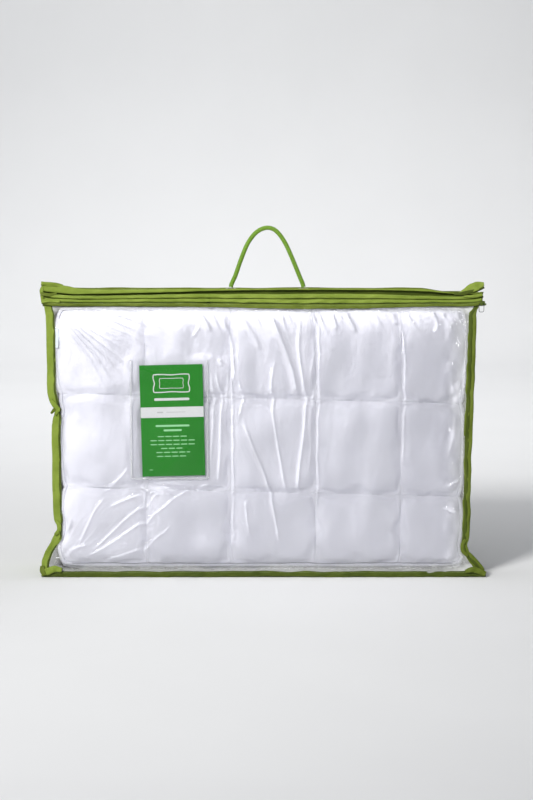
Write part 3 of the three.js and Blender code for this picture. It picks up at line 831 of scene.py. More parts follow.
# Folds in the film, in millimetres: points, width and height. They run down from the zip, past the card
# and out of the corner where the pillow leaves the film slack.
FOLDS = [
    ([(-74, 447), (-58, 390), (-54, 330)], 2.4, 1.7),
    ([(-60, 352), (-56, 250), (-57, 150), (-54, 50)], 1.7, 1.2),
    ([(4, 447), (22, 408), (36, 372), (46, 340), (53, 302)], 4, 3),
    ([(58, 440), (54, 387), (62, 330), (65, 270), (58, 200), (50, 130)], 2, 1.8),
    ([(18, 372), (10, 332), (12, 280), (20, 230), (36, 134)], 1.7, 1.3),
    ([(-38, 268), (-22, 224), (0, 170), (14, 112), (27, 46)], 2.1, 2),
    ([(-94, 362), (-88, 330), (-86, 260), (-92, 168)], 1.5, 1),
    ([(-82, 352), (-74, 300), (-74, 230), (-78, 160)], 1.7, 1.3),
    ([(-64, 350), (-68, 310), (-64, 262)], 1.5, 1),
    ([(-46, 332), (-40, 308), (-42, 270)], 1.6, 1.1),
    ([(-34, 135), (-30, 100), (-26, 70)], 2, 1),
    ([(85, 446), (86, 360), (84, 250), (83, 120)], 1.8, 1),
    ([(76, 420), (74, 300), (73, 180)], 1.6, 0.6),
    ([(213, 440), (224, 400), (227, 330), (224, 180)], 2, 1.1),
    ([(-302, 34), (-262, 56), (-222, 82), (-168, 122), (-124, 162)], 1.3, 1.2),
    ([(-290, 44), (-232, 98), (-196, 130), (-176, 154)], 1.4, 0.8),
    ([(-272, 148), (-246, 164), (-224, 190)], 1.4, 1.1),
    ([(-312, 52), (-286, 110), (-262, 140)], 1.6, 0.7),
    ([(-258, 120), (-228, 134), (-206, 146)], 1.5, 1),
    ([(-292, 24), (-210, 50), (-152, 92)], 1.6, 0.7),
    ([(-212, 160), (-190, 146)], 1.4, 1.2),
    ([(-196, 160), (-178, 140)], 1.4, 1.1),
    ([(-180, 164), (-152, 148)], 1.4, 1.3),
    ([(-166, 156), (-154, 134)], 1.3, 1),
    ([(-150, 166), (-126, 146)], 1.4, 1.3),
    ([(-124, 162), (-106, 142)], 1.4, 1.1),
    ([(-120, 152), (-90, 160)], 1.4, 1),
    ([(-350, 60), (-330, 86), (-322, 106)], 2, 1.4),
    ([(-336, 36), (-316, 52), (-296, 56)], 2, 1.4),
    ([(292, 120), (318, 112), (345, 126)], 2.2, 1.3),
    ([(300, 155), (322, 166), (338, 176)], 2.4, 1.2),
    ([(306, 350), (314, 262), (302, 200)], 3.4, 1.2),
    ([(334, 410), (328, 330), (336, 240)], 3.4, 1.4),
    ([(205, 446), (214, 426)], 1.9, 1.7),
    ([(108, 446), (118, 416)], 2, 1.9),
    ([(130, 446), (150, 412)], 2.3, 2.1),
    ([(272, 446), (282, 428), (278, 410)], 2, 1.9),
    ([(-108, 446), (-88, 412)], 2.3, 2.1),
    ([(-44, 446), (-18, 404), (-8, 380)], 2.8, 1.6),
    ([(-104, 376), (-98, 364)], 2, 1.2),
    ([(-76, 368), (-72, 356)], 2, 1.2),
    ([(-118, 404), (-108, 420)], 2.2, 1),
]


def fold_height(x, z, points, width, height):
    """A soft ridge along a smooth line through the points, given in millimetres, dying out at both ends."""
    line = resampled(np.array(points) / 1000, 14)
    nearest = np.full(x.shape, 1e9)
    place = np.zeros(x.shape)
    for k, (a, b) in enumerate(zip(line, line[1:])):
        step = b - a
        t = np.clip(((x - a[0]) * step[0] + (z - a[1]) * step[1]) / (step @ step), 0, 1)
        distance = np.hypot(x - a[0] - t * step[0], z - a[1] - t * step[1])
        closer = distance < nearest
        nearest = np.where(closer, distance, nearest)
        place = np.where(closer, (k + t) / (len(line) - 1), place)
    ends = smooth(place / 0.15) * smooth((1 - place) / 0.15)
    return height / 1000 * ends * np.exp(-(nearest / (width / 1000)) ** 1.4)


def zip_puckers(x, z):
    """Short tucks where the film is gathered into the zip, slanting down to the right."""
    rng = np.random.default_rng(7)
    down = FRONT_HIGH.z - z
    total = 0
    for middle in np.arange(-0.335, 0.345, 0.0155):
        middle = middle + rng.uniform(-0.006, 0.006)
        reach = rng.uniform(0.008, 0.03)
        slant = rng.uniform(0.2, 0.8)
        width = rng.uniform(0.0018, 0.0036)
        height = rng.uniform(0.0003, 0.0015)
        total = total + height * bell(x - middle - slant * down, width) * np.exp(-((down / reach) ** 2))
    return total


def corner_fan(x, z, corner, first, last, waves, height, near, far, seed):
    """Tucks that spread out of a corner between two directions, given as turns from +X."""
    turn = np.arctan2(z - corner[1], x - corner[0]) / (2 * math.pi)
    reach = np.hypot(x - corner[0], z - corner[1])
    share = (turn - first) / (last - first)
    inside = smooth(share / 0.12) * smooth((1 - share) / 0.12)
    fade = smooth((reach - near * 0.3) / near) * (1 - smooth((reach - near) / (far - near)))
    wobble = 0.2 * ripples(reach, turn * 2, 0.14, seed)
    ridge = 0.5 + 0.5 * np.cos(2 * math.pi * (share * waves + wobble))
    return height * inside * fade * (0.5 + 0.5 * ripples(turn * 3, 0, 0.3, seed + 1)) * ridge ** 6


# Fans of tucks: the corner, the first and last direction, tucks, height, where they start and end, and seed
FANS = [
    ((-0.36, 0.47), -0.17, -0.01, 11, 0.0032, 0.03, 0.24, 11),
    ((-0.372, -0.012), 0.03, 0.2, 12, 0.0007, 0.03, 0.25, 12),
    ((0.372, -0.012), 0.28, 0.46, 6, 0.003, 0.04, 0.12, 13),
]


def film_relief(x, z):
    """All the creases of the film, which lies flat along the bindings and the zip."""
    relief = 0.0008 * ripples(x, z, 0.16, 3) + 0.00035 * ripples(x, z * 0.6, 0.05, 4)
    relief = relief + zip_puckers(x, z)
    for fold in FOLDS:
        relief = relief + fold_height(x, z, *fold)
    for fan in FANS:
        relief = relief + corner_fan(x, z, *fan)
    crumpled = smooth((x - 0.285) / 0.03)
    relief = relief + crumpled * 0.0011 * ripples(x, z * 0.6, 0.024, 15)
    edge = smooth((x - seam_x(-1, z) - 0.003) / 0.012) * smooth((seam_x(1, z) - 0.003 - x) / 0.012)
    ends = smooth((z - FRONT_LOW.z) / 0.008) * (0.35 + 0.65 * smooth((FRONT_HIGH.z - z) / 0.006))
    return relief * edge * ends


def add_front():
    """The clear front, tucked in under the bindings and the zip."""
    inset = 0.0052

    def place(u, v):
        z = mix(FRONT_LOW.z - 0.006, FRONT_HIGH.z + 0.007, v)
        x = mix(seam_x(-1, z) + inset, seam_x(1, z) - inset, u)
        # the pocket and its card press the film flat
        beside = np.maximum(abs(x - POCKET_MIDDLE.x) - POCKET_SIZE.x / 2, 0)
        above = np.maximum(abs(z - POCKET_MIDDLE.z) - POCKET_SIZE.z / 2, 0)
        free = smooth(np.hypot(beside, above) / 0.012)
        return x, -film_depth(x, z) - film_relief(x, z) * mix(0.12, 1, free), z

    panel("clear_front", place, (490, 290), FILM, "clear_film", "front_panel", (0.71, 0.45), thickness=None)


POCKET_FOLDS = [
    ([(-180, 190), (-150, 212), (-128, 242)], 1.8, 0.6),
    ([(-176, 178), (-142, 205), (-118, 225)], 1.8, 0.5),
    ([(-210, 352), (-190, 345), (-170, 338)], 1.8, 0.6),
]


def add_pocket():
    """Clear vinyl over the card, welded flat round three sides and open at the top."""
    front, back = POCKET_LOW.y + 0.0004, POCKET_HIGH.y - 0.0001

    def place(u, v):
        x = mix(POCKET_LOW.x, POCKET_HIGH.x, u)
        z = mix(POCKET_LOW.z, POCKET_HIGH.z, v)
        side = np.minimum(x - POCKET_LOW.x, POCKET_HIGH.x - x)
        foot = z - POCKET_LOW.z
        welded = smooth((side - 0.0025) / 0.003) * smooth((foot - 0.0025) / 0.0028)
        weld = 0.0004 * bell(side - 0.0012, 0.0007) + 0.0003 * bell(foot - 0.0012, 0.0007)
        card_free = smooth((abs(x - CARD_MIDDLE.x) - 0.053) / 0.004)
        wave = np.cos((x - POCKET_MIDDLE.x) / POCKET_SIZE.x * 10)
        mouth = 0.0014 * smooth((z - CARD_HIGH.z) / 0.008) * wave
        creases = 0.0006 * card_free * ripples(x * 3, z * 0.4, 0.03, 21)
        for fold in POCKET_FOLDS:
            creases = creases + fold_height(x, z, *fold)
        return x, mix(back, front, welded) - weld - mouth * 0.3 - creases * 0.7, z

    panel("clear_pocket", place, (130, 190), POCKET_FILM, "clear_film", "card_pocket",
          (POCKET_SIZE.x, POCKET_SIZE.z), "clear_front", thickness=None)
    add_welds(back)


def add_welds(back):
    """Frosted lines where the pocket is welded to the front."""
    inset, t = 0.002, np.linspace(0, 1, 60)
    left, right, foot = POCKET_LOW.x + inset, POCKET_HIGH.x - inset, POCKET_LOW.z + inset
    down, along = mix(POCKET_HIGH.z, foot, t), mix(left, right, t)
    lines = (("left", left, down, LEVEL), ("right", right, down, LEVEL), ("foot", along, foot, UPRIGHT))
    for name, x, z, across in lines:
        path = path_of(x, back - 0.0008, z)
        weld = ribbon(f"pocket_weld_{name}", path, across, 0.0026, 0.0005, POCKET_WELD, sides=8)
        piece(weld, "clear_film")


# --- Printed card ---

class Print:
    """Flat printed shapes on the card, drawn across its width and up its height from its middle."""

    def __init__(self):
        self.points = []
        self.faces = []

    def bar(self, x, z, width, height, rounded=True):
        radius = height / 2 if rounded else 0.0
        self.faces.append([])
        for side, level, first in ((1, -1, -0.5), (1, 1, 0), (-1, 1, 0.5), (-1, -1, 1)):
            for turn in np.linspace(first, first + 0.5, 6 if rounded else 1) * math.pi:
                self.faces[-1].append(len(self.points))
                self.points.append((x + side * (width / 2 - radius) + radius * math.cos(turn),
                                    z + level * (height / 2 - radius) + radius * math.sin(turn)))

    def stroke(self, line, width):
        ahead = unit(np.gradient(line, axis=0))
        side = np.stack([-ahead[:, 1], ahead[:, 0]], 1) * width / 2
        base = len(self.points)
        self.points += np.stack([line + side, line - side], 1).reshape(-1, 2).tolist()
        self.faces += [[k, k + 1, k + 3, k + 2] for k in range(base, len(self.points) - 2, 2)]

    def make(self, name, material, lift):
        tilt = math.radians(1.3)
        x, z = np.array(self.points).T
        points = path_of(CARD_MIDDLE.x + x * math.cos(tilt) - z * math.sin(tilt), CARD_LOW.y - lift,
                         CARD_MIDDLE.z + x * math.sin(tilt) + z * math.cos(tilt))
        piece(mesh_object(name, points, self.faces, material), "card", body="card")


def pillow_outline(width, height, pull):
    """A pillow drawn as one line: four pointed corners with sides that curve in."""
    turn = np.linspace(0, 2 * math.pi, 97)
    reach = 1 + pull * np.cos(4 * (turn - math.pi / 4))
    square = np.maximum(abs(np.cos(turn)), abs(np.sin(turn)))
    out = reach / square ** 0.7 / 2
    return np.stack([np.cos(turn) * out * width, np.sin(turn) * out * height], 1)


def add_print():
    """An outline of a pillow, plain bars and rows of dashes in place of the card's printing."""
    white = Print()
    white.stroke(pillow_outline(0.060, 0.030, 0.07) + [0, 0.062], 0.0017)
    white.stroke(pillow_outline(0.040, 0.017, 0.05) + [0, 0.062], 0.0009)
    white.bar(0, 0.0355, 0.058, 0.0042)
    white.bar(0, 0.0140, 0.1035, 0.0175, rounded=False)
    white.make("card_print_white", INK_WHITE, 0.00012)
    grey = Print()
    grey.bar(-0.020, 0.0140, 0.010, 0.0024)
    grey.bar(0.006, 0.0140, 0.032, 0.0010)
    grey.make("card_print_grey", INK_GREY, 0.0002)
    pale = Print()
    pale.bar(0, -0.0085, 0.056, 0.0032)
    pale.bar(0, -0.0160, 0.030, 0.0032)
    for k, width in enumerate((0.050, 0.074, 0.074, 0.040, 0.056, 0.054)):
        for start in np.arange(-width / 2, width / 2 - 0.004, 0.0125):
            length = min(0.0105, width / 2 - start)
            pale.bar(start + length / 2, -0.0262 - 0.0066 * k, length, 0.0016)
    pale.bar(-0.037, -0.0815, 0.006, 0.0010)
    pale.make("card_print_pale", INK_PALE, 0.00012)


# --- Green panels ---

def add_back():
    def place(u, v):
        z = mix(BACK_LOW.z - 0.002, BACK_HIGH.z + 0.003, v)
        x = mix(seam_x(-1, z) + INSET, seam_x(1, z) - INSET, u)
        return x, back_depth(x, z), z

    # painted shade: the back takes the half shaded green
    panel("back_cloth", place, (150, 100), GREEN_PAINTED_HALF_SHADE, "green", "back_panel", (0.71, 0.46))


def add_side(name, side, cloth):
    half = -SEAM_Y - 0.001

    def place(u, v):
        z = mix(SIDE_LOW.z - INSET, SIDE_HIGH.z + INSET, v)
        middle = 1 - (2 * u - 1) ** 2
        slack = 0.0016 * ripples(u * 0.11, z, 0.07, 40 + side)
        slack = slack + 0.0007 * ripples(u * 0.2, z, 0.022, 43 + side)
        bulge = (0.0042 + slack) * middle * smooth((z - 0.07) / 0.05) - 0.003 * smooth((0.09 - z) / 0.02)
        return seam_x(side, z) + side * bulge, (2 * u - 1) * half, z

    flat = (2 * half, SIDE_HIGH.z - SIDE_LOW.z + 2 * INSET)
    panel(f"side_cloth_{name}", place, (30, 130), *CLOTHS[cloth], f"side_gusset_{name}", flat)


def add_floor_cloth():
    """The bottom of the bag, pressed down softly between its bindings."""
    low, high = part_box("bottom_gusset")

    def place(u, v):
        x, y = mix(low.x, high.x, u), mix(low.y, high.y, v)
        inside = smooth(np.minimum(u, 1 - u) * 30) * smooth(np.minimum(v, 1 - v) * 8)
        return x, y, high.z / 2 + inside * 0.0009 * (1 + ripples(x, y, 0.06, 51)) * 0.5

    # painted shade: the floor inside the bag takes the shaded green
    panel("floor_cloth", place, (120, 24), GREEN_PAINTED_SHADE, "green_dark", "bottom_gusset",
          (high.x - low.x, high.y - low.y), "binding_tape_front_bottom")


# Edges of the strips along the top of the front, in millimetres: X and height
HEM_TOP = np.array([
    (-365, 489.5), (-352, 490.2), (-338, 489), (-320, 486), (-300, 482.2), (-250, 480.8), (-150, 481.6),
    (0, 482.4), (150, 482.4), (250, 481.6), (275, 479.8), (297, 476.6), (320, 474.4), (345, 475.6),
    (355, 477.4),
]) / 1000
HEM_FOOT = np.array([
    (-365, 478.5), (-352, 476.5), (-330, 474.5), (-307, 473), (-224, 474.8), (-150, 476.4), (-90, 478.4),
    (0, 479.8), (150, 480), (250, 478.2), (300, 474.6), (325, 473.2), (345, 473.8), (355, 475),
]) / 1000
BAND_TOP = np.array([
    (-365, 477.2), (-352, 474.6), (-307, 470.8), (-224, 472), (-150, 473.2), (-90, 474.2),
    (150, 474.2), (250, 471.6), (300, 469.8), (330, 470.6), (356, 473.8),
]) / 1000
BAND_FOOT = np.array([
    (-365, 457.5), (-352, 454.5), (-330, 453.5), (-200, 453.2), (-100, 452), (-30, 450.5),
    (30, 449.2), (150, 449.2), (250, 452), (280, 453.2), (340, 453), (356, 456.8),
]) / 1000


def band_strip(name, low, high, thickness, forward, cloth, seed):
    """A folded strip along the front's top edge, between two shares of the band's height."""
    x = np.linspace(BAND_TOP[0, 0], BAND_TOP[-1, 0], 380)
    foot, top = height_along(BAND_FOOT, x), height_along(BAND_TOP, x)
    bottom_edge, top_edge = mix(foot, top, low), mix(foot, top, high)
    z = (bottom_edge + top_edge) / 2 + 0.0003 * ripples(x, 0, 0.05, seed)
    from_pleat = x + 0.092
    puckers = 0.0004 * np.sin(x * 2 * math.pi / 0.0042) * ripples(x, 0, 0.04, seed + 1)
    relief = puckers - 0.0012 * bell(from_pleat, 0.0022) + 0.0005 * ripples(x, 0, 0.06, seed + 2)
    path = path_of(x, COIL_LOW.y - forward + relief, z)
    height = (top_edge - bottom_edge) * (1 - 0.1 * bell(from_pleat, 0.003))
    material = CLOTHS[cloth][0]
    return path, ribbon(name, path, UPRIGHT, height, thickness, material, 0.0005, seed + 3, sides=22)


def right_dip(x):
    """How far the top sinks beside its right corner."""
    deepest, start = 0.006, 0.262
    return deepest * smooth((x - start) / 0.045)


def add_top():
    """The top of the bag and its folded hem over the zip, in the lit green as painted light, and the fold
    between hem and zip, in the shaded green as painted shade.
    """
    back = GUSSET_HIGH.y
    left, right = -0.3585, 0.3585
    lip_y = COIL_LOW.y - 0.0012

    def place(u, v):
        x = mix(left, right, u)
        y = mix(lip_y, back, v)
        dome = (1 - (2 * v - 1) ** 2) * (1 - abs(2 * u - 1) ** 10)
        lumps = 0.0006 * ripples(x, y, 0.08, 62) + 0.0004 * ripples(x, y * 0.5, 0.03, 63)
        lip = (height_along(HEM_FOOT, x) + height_along(HEM_TOP, x)) / 2 - TOP_Z
        lift = lip * (1 - v) ** 3
        sag = right_dip(x) * smooth(v * 5)
        return x, y, TOP_Z + 0.0004 + 0.0042 * dome + lift - sag + lumps * smooth(np.minimum(v, 1 - v) * 6)

    panel("top_cloth", place, (240, 60), GREEN_PAINTED_LIT, "green_light", "top_gusset",
          (right - left, back - lip_y), "zip_tape_cloth_upper", fit=mouth_piece)
    x = np.linspace(HEM_TOP[0, 0], HEM_TOP[-1, 0], 380)
    foot, top = height_along(HEM_FOOT, x), height_along(HEM_TOP, x)
    path = path_of(x, lip_y + 0.0006 * ripples(x, 0, 0.06, 64), (foot + top) / 2)
    hem = ribbon("top_hem", path, UPRIGHT, top - foot, 0.0042, GREEN_PAINTED_LIT, 0.0004, 66, sides=20)
    mouth_piece(hem, "green_light")

    def fold(u, v):
        x = mix(HEM_TOP[0, 0], HEM_TOP[-1, 0], u)
        z = mix(height_along(BAND_TOP, x) - 0.0016, height_along(HEM_FOOT, x) + 0.0018, v)
        return x, lip_y + 0.0006 + 0.0055 * np.sin(math.pi * v), z

    # painted shade: the recess under the hem is a strip of the shaded green
    mouth_piece(surface("top_recess", fold, 200, 10, GREEN_PAINTED_SHADE, CLOTH), "green_dark")


# Folded ends of seam allowance, in millimetres: the middle line, widths along it, thickness and cloth, a lit
# or shaded copy of the green that paints how the light falls on the scrap.
LEFT_ENDS = [
    ([(-362.5, -61, 487), (-365, -62.5, 479), (-364, -62.5, 470), (-363.5, -61.5, 460)],
     [5, 6.5, 6, 5], 4.5, "light"),
    ([(-330, -60, 486.8), (-344, -62, 489.5), (-356, -63, 490), (-365.5, -63, 490.5)],
     [4, 6.5, 7, 6.5], 5.5, "light"),
    ([(-340, -62.5, 474), (-354, -63.5, 472.5), (-366, -64, 474.2)],
     [3, 5, 6.5], 3.6, "mid"),
    ([(-335, -62.5, 460.8), (-350, -63.5, 462.5), (-365, -64, 462.2)],
     [3, 5.5, 6.5], 3.6, "light"),
]
RIGHT_ENDS = [
    ([(318, -60, 474.5), (328, -62.5, 478.5), (339, -64, 483.8), (349, -64.5, 487.8),
      (358.5, -64, 489.6)], [2, 9, 14.5, 15, 6], 4.2, "light"),
    ([(310, -62, 473), (328, -64, 475), (345, -65, 479), (358.8, -64.5, 485)],
     [4, 6.6, 6.6, 4], 3.6, "dark"),
    ([(326, -62, 469), (342, -63.5, 470), (356, -63.5, 472.5)],
     [3, 5, 5], 3.6, "light"),
]
FLOOR_ENDS = [
    ([(-372.5, -58, 6.5), (-362, -60, 10.5), (-350, -60.5, 15), (-338, -60, 12)],
     [10, 12, 11, 7], 4.2, "light"),
    ([(-370.5, -59, 20), (-370, -60, 11.5), (-366.5, -60, 4.5)],
     [7, 9, 7], 4, "mid"),
    ([(334, -59.5, 10.5), (347, -60, 13.5), (359, -60, 9.5), (368, -59, 5.5)],
     [6, 9, 10, 8], 4, "mid"),
]
SEAM_KNOTS = [
    ([(-352.5, -59.5, 298.5), (-346.5, -60.5, 290), (-340.5, -60, 283.5), (-345, -59.5, 274)],
     [6, 8.5, 7.5, 5], 4.2, "light"),
    ([(-352, -59, 276), (-347, -60.5, 282), (-343, -60, 289)],
     [4, 6, 4], 3.6, "mid"),
    ([(-346, -59, 96), (-341.5, -60, 88), (-342, -60, 80), (-348, -59, 72)],
     [5, 7.5, 7.5, 5], 3.8, "light"),
    ([(334, -59, 65), (329.5, -60.5, 56), (330, -60.5, 46), (338, -59, 37)],
     [5, 7.5, 7.5, 5], 3.8, "mid"),
]


def fold_over(name, points, widths, thickness, cloth, seed):
    """A folded scrap of binding: a soft ribbon that widens and narrows, with a frayed end."""
    count = 36
    path = resampled(np.array(points) / 1000, count)
    distance = along_line(path)
    y, z = ripples(distance, 0, 0.02, seed), ripples(distance, 0, 0.025, seed + 1)
    path = path + 0.0006 * path_of(0, y, z)
    width = np.interp(np.linspace(0, 1, count), np.linspace(0, 1, len(widths)), widths) / 1000
    ahead = unit(np.gradient(path, axis=0))
    across = unit(np.cross(ahead, [0, -1, 0.25 * math.sin(seed)]))
    return ribbon(name, path, across, width, thickness / 1000, CLOTHS[cloth][0], 0.0007, seed + 2, sides=22)


def add_ends():
    groups = (("left_end", LEFT_ENDS, 120, piece, ["corner_tab_left"]),
              ("right_end", RIGHT_ENDS, 140, mouth_piece, ["corner_tab_right"]),
              ("gather", FLOOR_ENDS + SEAM_KNOTS, 160, piece, []))
    for group, scraps, seed, fit, nodes in groups:
        for k, scrap in enumerate(scraps):
            end = fold_over(f"{group}_{k}", *scrap, seed + 3 * k)
            fit(end, CLOTHS[scrap[-1]][1], *(nodes if k == 0 else []))


# --- Bindings ---

def pinched(z, places):
    """Share of a binding's width at height z, narrowed where it is puckered."""
    width = np.ones_like(z)
    for place, depth, reach in places:
        width = width - depth * bell(z - place, reach)
    return width


def twisted(z, places, seed):
    """Direction of a binding's width: level, and turned where it is puckered."""
    angle = 0.16 * ripples(z, 0, 0.09, seed)
    for place, depth, reach in places:
        angle = angle + 2.2 * depth * bell(z - place + 0.4 * reach, reach * 1.4)
    return path_of(np.cos(angle), -np.sin(angle), 0)


# Puckers of the side bindings: height, depth and reach. Then where the strip of painted shade along the
# folded edge of each one lies, and how much of its width it takes.
PUCKERS = {
    "left": [(0.283, 0.45, 0.007), (0.084, 0.5, 0.008)],
    "right": [(0.055, 0.32, 0.008), (0.165, 0.15, 0.01)],
}
FOLD_OFFSET = {"left": 0.36, "right": 0.12}
FOLD_SHARE = {"left": 0.2, "right": 0.42}


def binding_width(name, z, top):
    """Width of a side binding, which narrows toward the floor and, on the right, into the top corner."""
    width = BINDING * pinched(z, PUCKERS[name])
    if name == "left":
        return width * (1 - 0.14 * smooth((0.075 - z) / 0.02))
    return width * (1 - 0.12 * smooth((0.24 - z) / 0.05) - 0.6 * smooth((z - top + 0.010) / 0.014))


def add_upright_binding(place, y, name, side, material, slot):
    """The tape over one upright seam, with its folded edge and its stitches."""
    low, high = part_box(f"binding_{place}_left")
    z = np.linspace(low.z - 0.004, high.z + 0.008, 150)
    path = path_of(seam_x(side, z) + 0.0005 * ripples(z, 0, 0.05, 71 + side), y, z)
    width = binding_width(name, z, high.z)
    across = twisted(z, PUCKERS[name], 74 + side)
    thick = 0.003 + 0.0012 * (1 - pinched(z, PUCKERS[name]))
    tape = ribbon(f"binding_tape_{place}_{name}", path, across, width, thick, material, 0.0005, 77 + side,
                  sides=24, groove=0.45)
    piece(tape, slot, f"binding_{place}_{name}")
    inward = -side * width[:, None] * across
    stitch_share = 0.225
    if place == "front":
        # painted shade: a strip of the shaded green along the folded edge stands for the shade there
        inner = path + inward * FOLD_OFFSET[name] - [0, 0.0011, 0]
        edge = ribbon(f"binding_fold_painted_shade_{name}", inner, across, width * FOLD_SHARE[name], 0.0022, GREEN_PAINTED_SHADE,
                      0.0004, 87 + side)
        piece(edge, "green_dark")
    sewn = path + inward * stitch_share + [0, math.copysign(0.0014, y), 0]
    piece(stitches(f"seam_{place}_{name}", [sewn], GREEN_THREAD), slot)


def add_bindings():
    for place, y in (("front", SEAM_Y), ("back", -SEAM_Y)):
        # painted light: the left bindings take the lit green and the right ones the half shaded green as
        # painted shade
        add_upright_binding(place, y, "left", -1, GREEN_PAINTED_LIT, "green_light")
        add_upright_binding(place, y, "right", 1, GREEN_PAINTED_HALF_SHADE, "green_dark")
        add_bottom_binding(place, y)
    add_top_binding()
    add_end_bindings()


def add_bottom_binding(place, y):
    """The tape along a bottom seam, which narrows a little toward both flared corners."""
    low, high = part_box(f"binding_{place}_bottom")
    x = np.linspace(low.x + 0.001, high.x - 0.0045, 300)
    ends = smooth((abs(x) - 0.33) / 0.04)
    z = (low.z + high.z) / 2 + 0.0006 * ripples(x, 0, 0.1, 81) * (1 - ends)
    depth = y + math.copysign(0.0006, y) * ripples(x, 0, 0.07, 82)
    narrowed = (1 - 0.06 * ripples(x, 0, 0.06, 83) ** 2 * (1 - ends)) * (1 - 0.2 * ends)
    share, lowered = 0.86, 0.42
    height = (high.z - low.z) * share * narrowed
    path = path_of(x, depth, z - (high.z - low.z - height) * lowered)
    # painted shade: the bottom tapes take the shaded green
    tape = ribbon(f"binding_tape_{place}_bottom", path, UPRIGHT, height * 0.97, 0.0032, GREEN_PAINTED_SHADE,
                  0.0005, 84, sides=24, groove=0.4)
    piece(tape, "green_dark", f"binding_{place}_bottom")
    sewn = path + [0, math.copysign(0.0017, y), 0.0028]
    piece(stitches(f"seam_{place}_bottom", [sewn], GREEN_THREAD), "green_dark")


def add_top_binding():
    low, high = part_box("binding_back_top")
    x = np.linspace(low.x, high.x, 240)
    path = path_of(x, -SEAM_Y, (low.z + high.z) / 2 + 0.0005 * ripples(x, 0, 0.09, 85) - right_dip(x))
    # painted shade: the back top tape takes the half shaded green
    tape = ribbon("binding_tape_back_top", path, UPRIGHT, high.z - low.z, 0.0028, GREEN_PAINTED_HALF_SHADE, 0.0003, 86)
    piece(tape, "green", "binding_back_top")


def add_end_bindings():
    # painted light and shade: the bottom end tapes take the shaded green and the top ones the half shaded
    # green
    for level, material, slot in (("bottom", GREEN_PAINTED_SHADE, "green_dark"), ("top", GREEN_PAINTED_HALF_SHADE, "green_light")):
        for name in ("left", "right"):
            low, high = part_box(f"binding_{level}_{name}")
            y = np.linspace(low.y, high.y, 60)
            middle = (low + high) / 2
            path = path_of(middle.x, y, middle.z + 0.0004 * ripples(y, 0, 0.04, 91))
            tape = ribbon(f"binding_tape_{level}_{name}", path, LEVEL, 0.0054, 0.0046, material, 0.0003, 92)
            piece(tape, slot, f"binding_{level}_{name}")


def tuck_back_corner():
    """The rear right corner of the floor is folded in under the bag."""
    for name in ("side_cloth_right", "back_cloth", "floor_cloth", "binding_tape_back_right",
                 "binding_tape_back_bottom", "binding_tape_bottom_right", "seam_back_right",
                 "seam_back_bottom"):
        mesh = bpy.data.objects[name].data
        points = points_of(mesh)
        points[:, 0] -= smooth((points[:, 0] - 0.29) / 0.07) * corner_tuck(points[:, 1], points[:, 2])
        set_points(mesh, points)


# --- Zip ---

def zip_line(offset, seed):
    """A line along the zip, above its middle by the offset and closer to it toward both ends."""
    x = np.linspace(COIL_LOW.x - 0.012, COIL_HIGH.x - 0.004, 320)
    ends = smooth((abs(x) - 0.30) / 0.06)
    z = ZIP_Z + offset * (1 - 0.2 * ends) + 0.0004 * ripples(x, 0, 0.09, seed)
    return path_of(x, (COIL_LOW.y + COIL_HIGH.y) / 2, z)


def add_zip():
    # painted light and shade: the lower facing takes the half shaded green, the fold and the upper facing the
    # lit green
    lower_path, lower = band_strip("zip_facing_cloth_lower", 0.0, 0.30, 0.0026, 0.0004, "mid", 101)
    piece(lower, "green", "zip_facing_lower")
    fold = band_strip("zip_fold_cloth", 0.365, 0.615, 0.0024, 0.0002, "light", 107)[1]
    mouth_piece(fold, "green_light")
    upper_path, upper = band_strip("zip_facing_cloth_upper", 0.68, 0.97, 0.0028, 0.0008, "light", 113)
    mouth_piece(upper, "green_light", "zip_facing_upper")
    for name, fit, path, rise, middle, height, seed in (
        ("lower", piece, lower_path, 0.0016, -0.003, 0.0052, 100),
        ("upper", mouth_piece, upper_path, 0.002, 0.0068, 0.0125, 102),
    ):
        tape = ribbon(f"zip_tape_cloth_{name}", zip_line(middle, seed), UPRIGHT, height, 0.0009, TAPE)
        fit(tape, "zip_tape", f"zip_tape_{name}")
        fit(zip_teeth(name), "zip_coil", f"zip_coil_{name}")
        sewn = path + [0, -0.0015, rise]
        fit(stitches(f"zip_seam_{name}", [sewn], GREEN_THREAD, 0.0032, 0.0023), "zip_tape")


def zip_teeth(name):
    """One moulded turn of the coil for each tooth, made of four rings of ten points."""
    low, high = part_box(f"zip_coil_{name}")
    middle, radius = (low + high) / 2, (high.z - low.z) / 2
    turn = np.linspace(0, 2 * math.pi, 10, endpoint=False)
    step = np.array([-0.0007, -0.0003, 0.0003, 0.0007])[:, None]
    size = radius * np.array([0.62, 1, 1, 0.62])[:, None]
    tooth = path_of(step, middle.y + size * np.cos(turn), middle.z + size * np.sin(turn)).reshape(-1, 3)
    shell = grid_faces(4, 10, wrap=True) + [list(range(9, -1, -1)), list(range(30, 40))]
    places = np.arange(low.x + 0.001, high.x - 0.0005, 0.0019)
    points = [tooth + [x, 0, 0] for x in places]
    faces = [[k * len(tooth) + i for i in face] for k in range(len(places)) for face in shell]
    return mesh_object(f"zip_teeth_{name}", points, faces, COIL)


# --- Rope handle ---

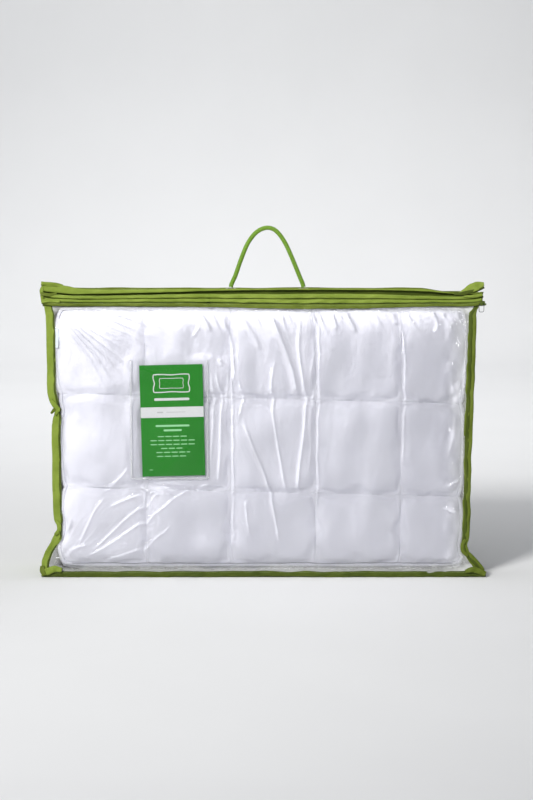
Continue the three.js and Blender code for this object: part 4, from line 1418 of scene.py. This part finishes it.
def add_rope():
    """Sixteen strands braided round a core: half turn one way, half the other, over one and under one."""
    steps, strands, sides = 620, 16, 6
    strand, pitch, weave = 0.00085, 0.026, 0.0003
    line = resampled(ROPE_ROUTE, steps)
    path = path_of(line[:, 0], 0, line[:, 1])
    side = np.broadcast_to([0.0, 1.0, 0.0], path.shape)
    up = np.cross(unit(np.gradient(path, axis=0)), side)
    distance = along_line(path)
    section = np.linspace(0, 2 * math.pi, sides, endpoint=False)[:, None]

    def tube(middle, out, across, high, wide):
        ring = out[:, None] * (high * np.cos(section)) + across[:, None] * (wide * np.sin(section))
        return middle[:, None] + ring

    tubes = []
    for k in range(strands):
        sign = 1 if k % 2 else -1
        turn = sign * distance * 2 * math.pi / pitch + (k // 2) * 4 * math.pi / strands
        over = sign * np.sin(distance * strands * math.pi / pitch + (k // 2) * math.pi)
        reach = (ROPE_DIAMETER / 2 - strand - weave + weave * over)[:, None]
        out = side * np.cos(turn)[:, None] + up * np.sin(turn)[:, None]
        middle = path + out * reach
        across = unit(np.cross(unit(np.gradient(middle, axis=0)), out))
        tubes.append(tube(middle, out, across, strand * 0.8, strand))
    core = ROPE_DIAMETER / 2 - 2 * strand
    tubes.append(tube(path, side, up, core, core))
    one = np.array(grid_faces(steps, sides, wrap=True))
    faces = np.vstack([one + k * steps * sides for k in range(len(tubes))]).tolist()
    rope = mesh_object("rope_braid", tubes, faces, ROPE)
    piece(rope, "rope", "rope_handle", body="handle")


# --- Finishes of the CAD nodes that keep their own shape ---

def carried_over():
    """Gives each of these CAD nodes a better material in its own slot."""
    looks = {
        DARK_WIRE: ["zip_pull"],
        METAL: ["eyelet_left", "eyelet_right", "eyelet_washer_left", "eyelet_washer_right"],
        PAINTED: ["zip_slider", "zip_stop_left", "zip_stop_right"],
        ROPE: ["rope_knot_left", "rope_knot_right"],
        CARD_GREEN: ["insert_card"],
    }
    for material, nodes in looks.items():
        for node in nodes:
            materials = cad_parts[node].data.materials
            materials.clear()
            materials.append(material)


add_camera()
add_rope()
add_studio()
add_pillow()
add_front()
add_pocket()
add_print()
add_back()
# painted light: the left side, toward the key lamp, takes the lit green, and the right side the shaded green
# as painted shade
add_side("left", -1, "light")
add_side("right", 1, "dark")
add_floor_cloth()
add_top()
add_ends()
add_bindings()
tuck_back_corner()
add_zip()
carried_over()
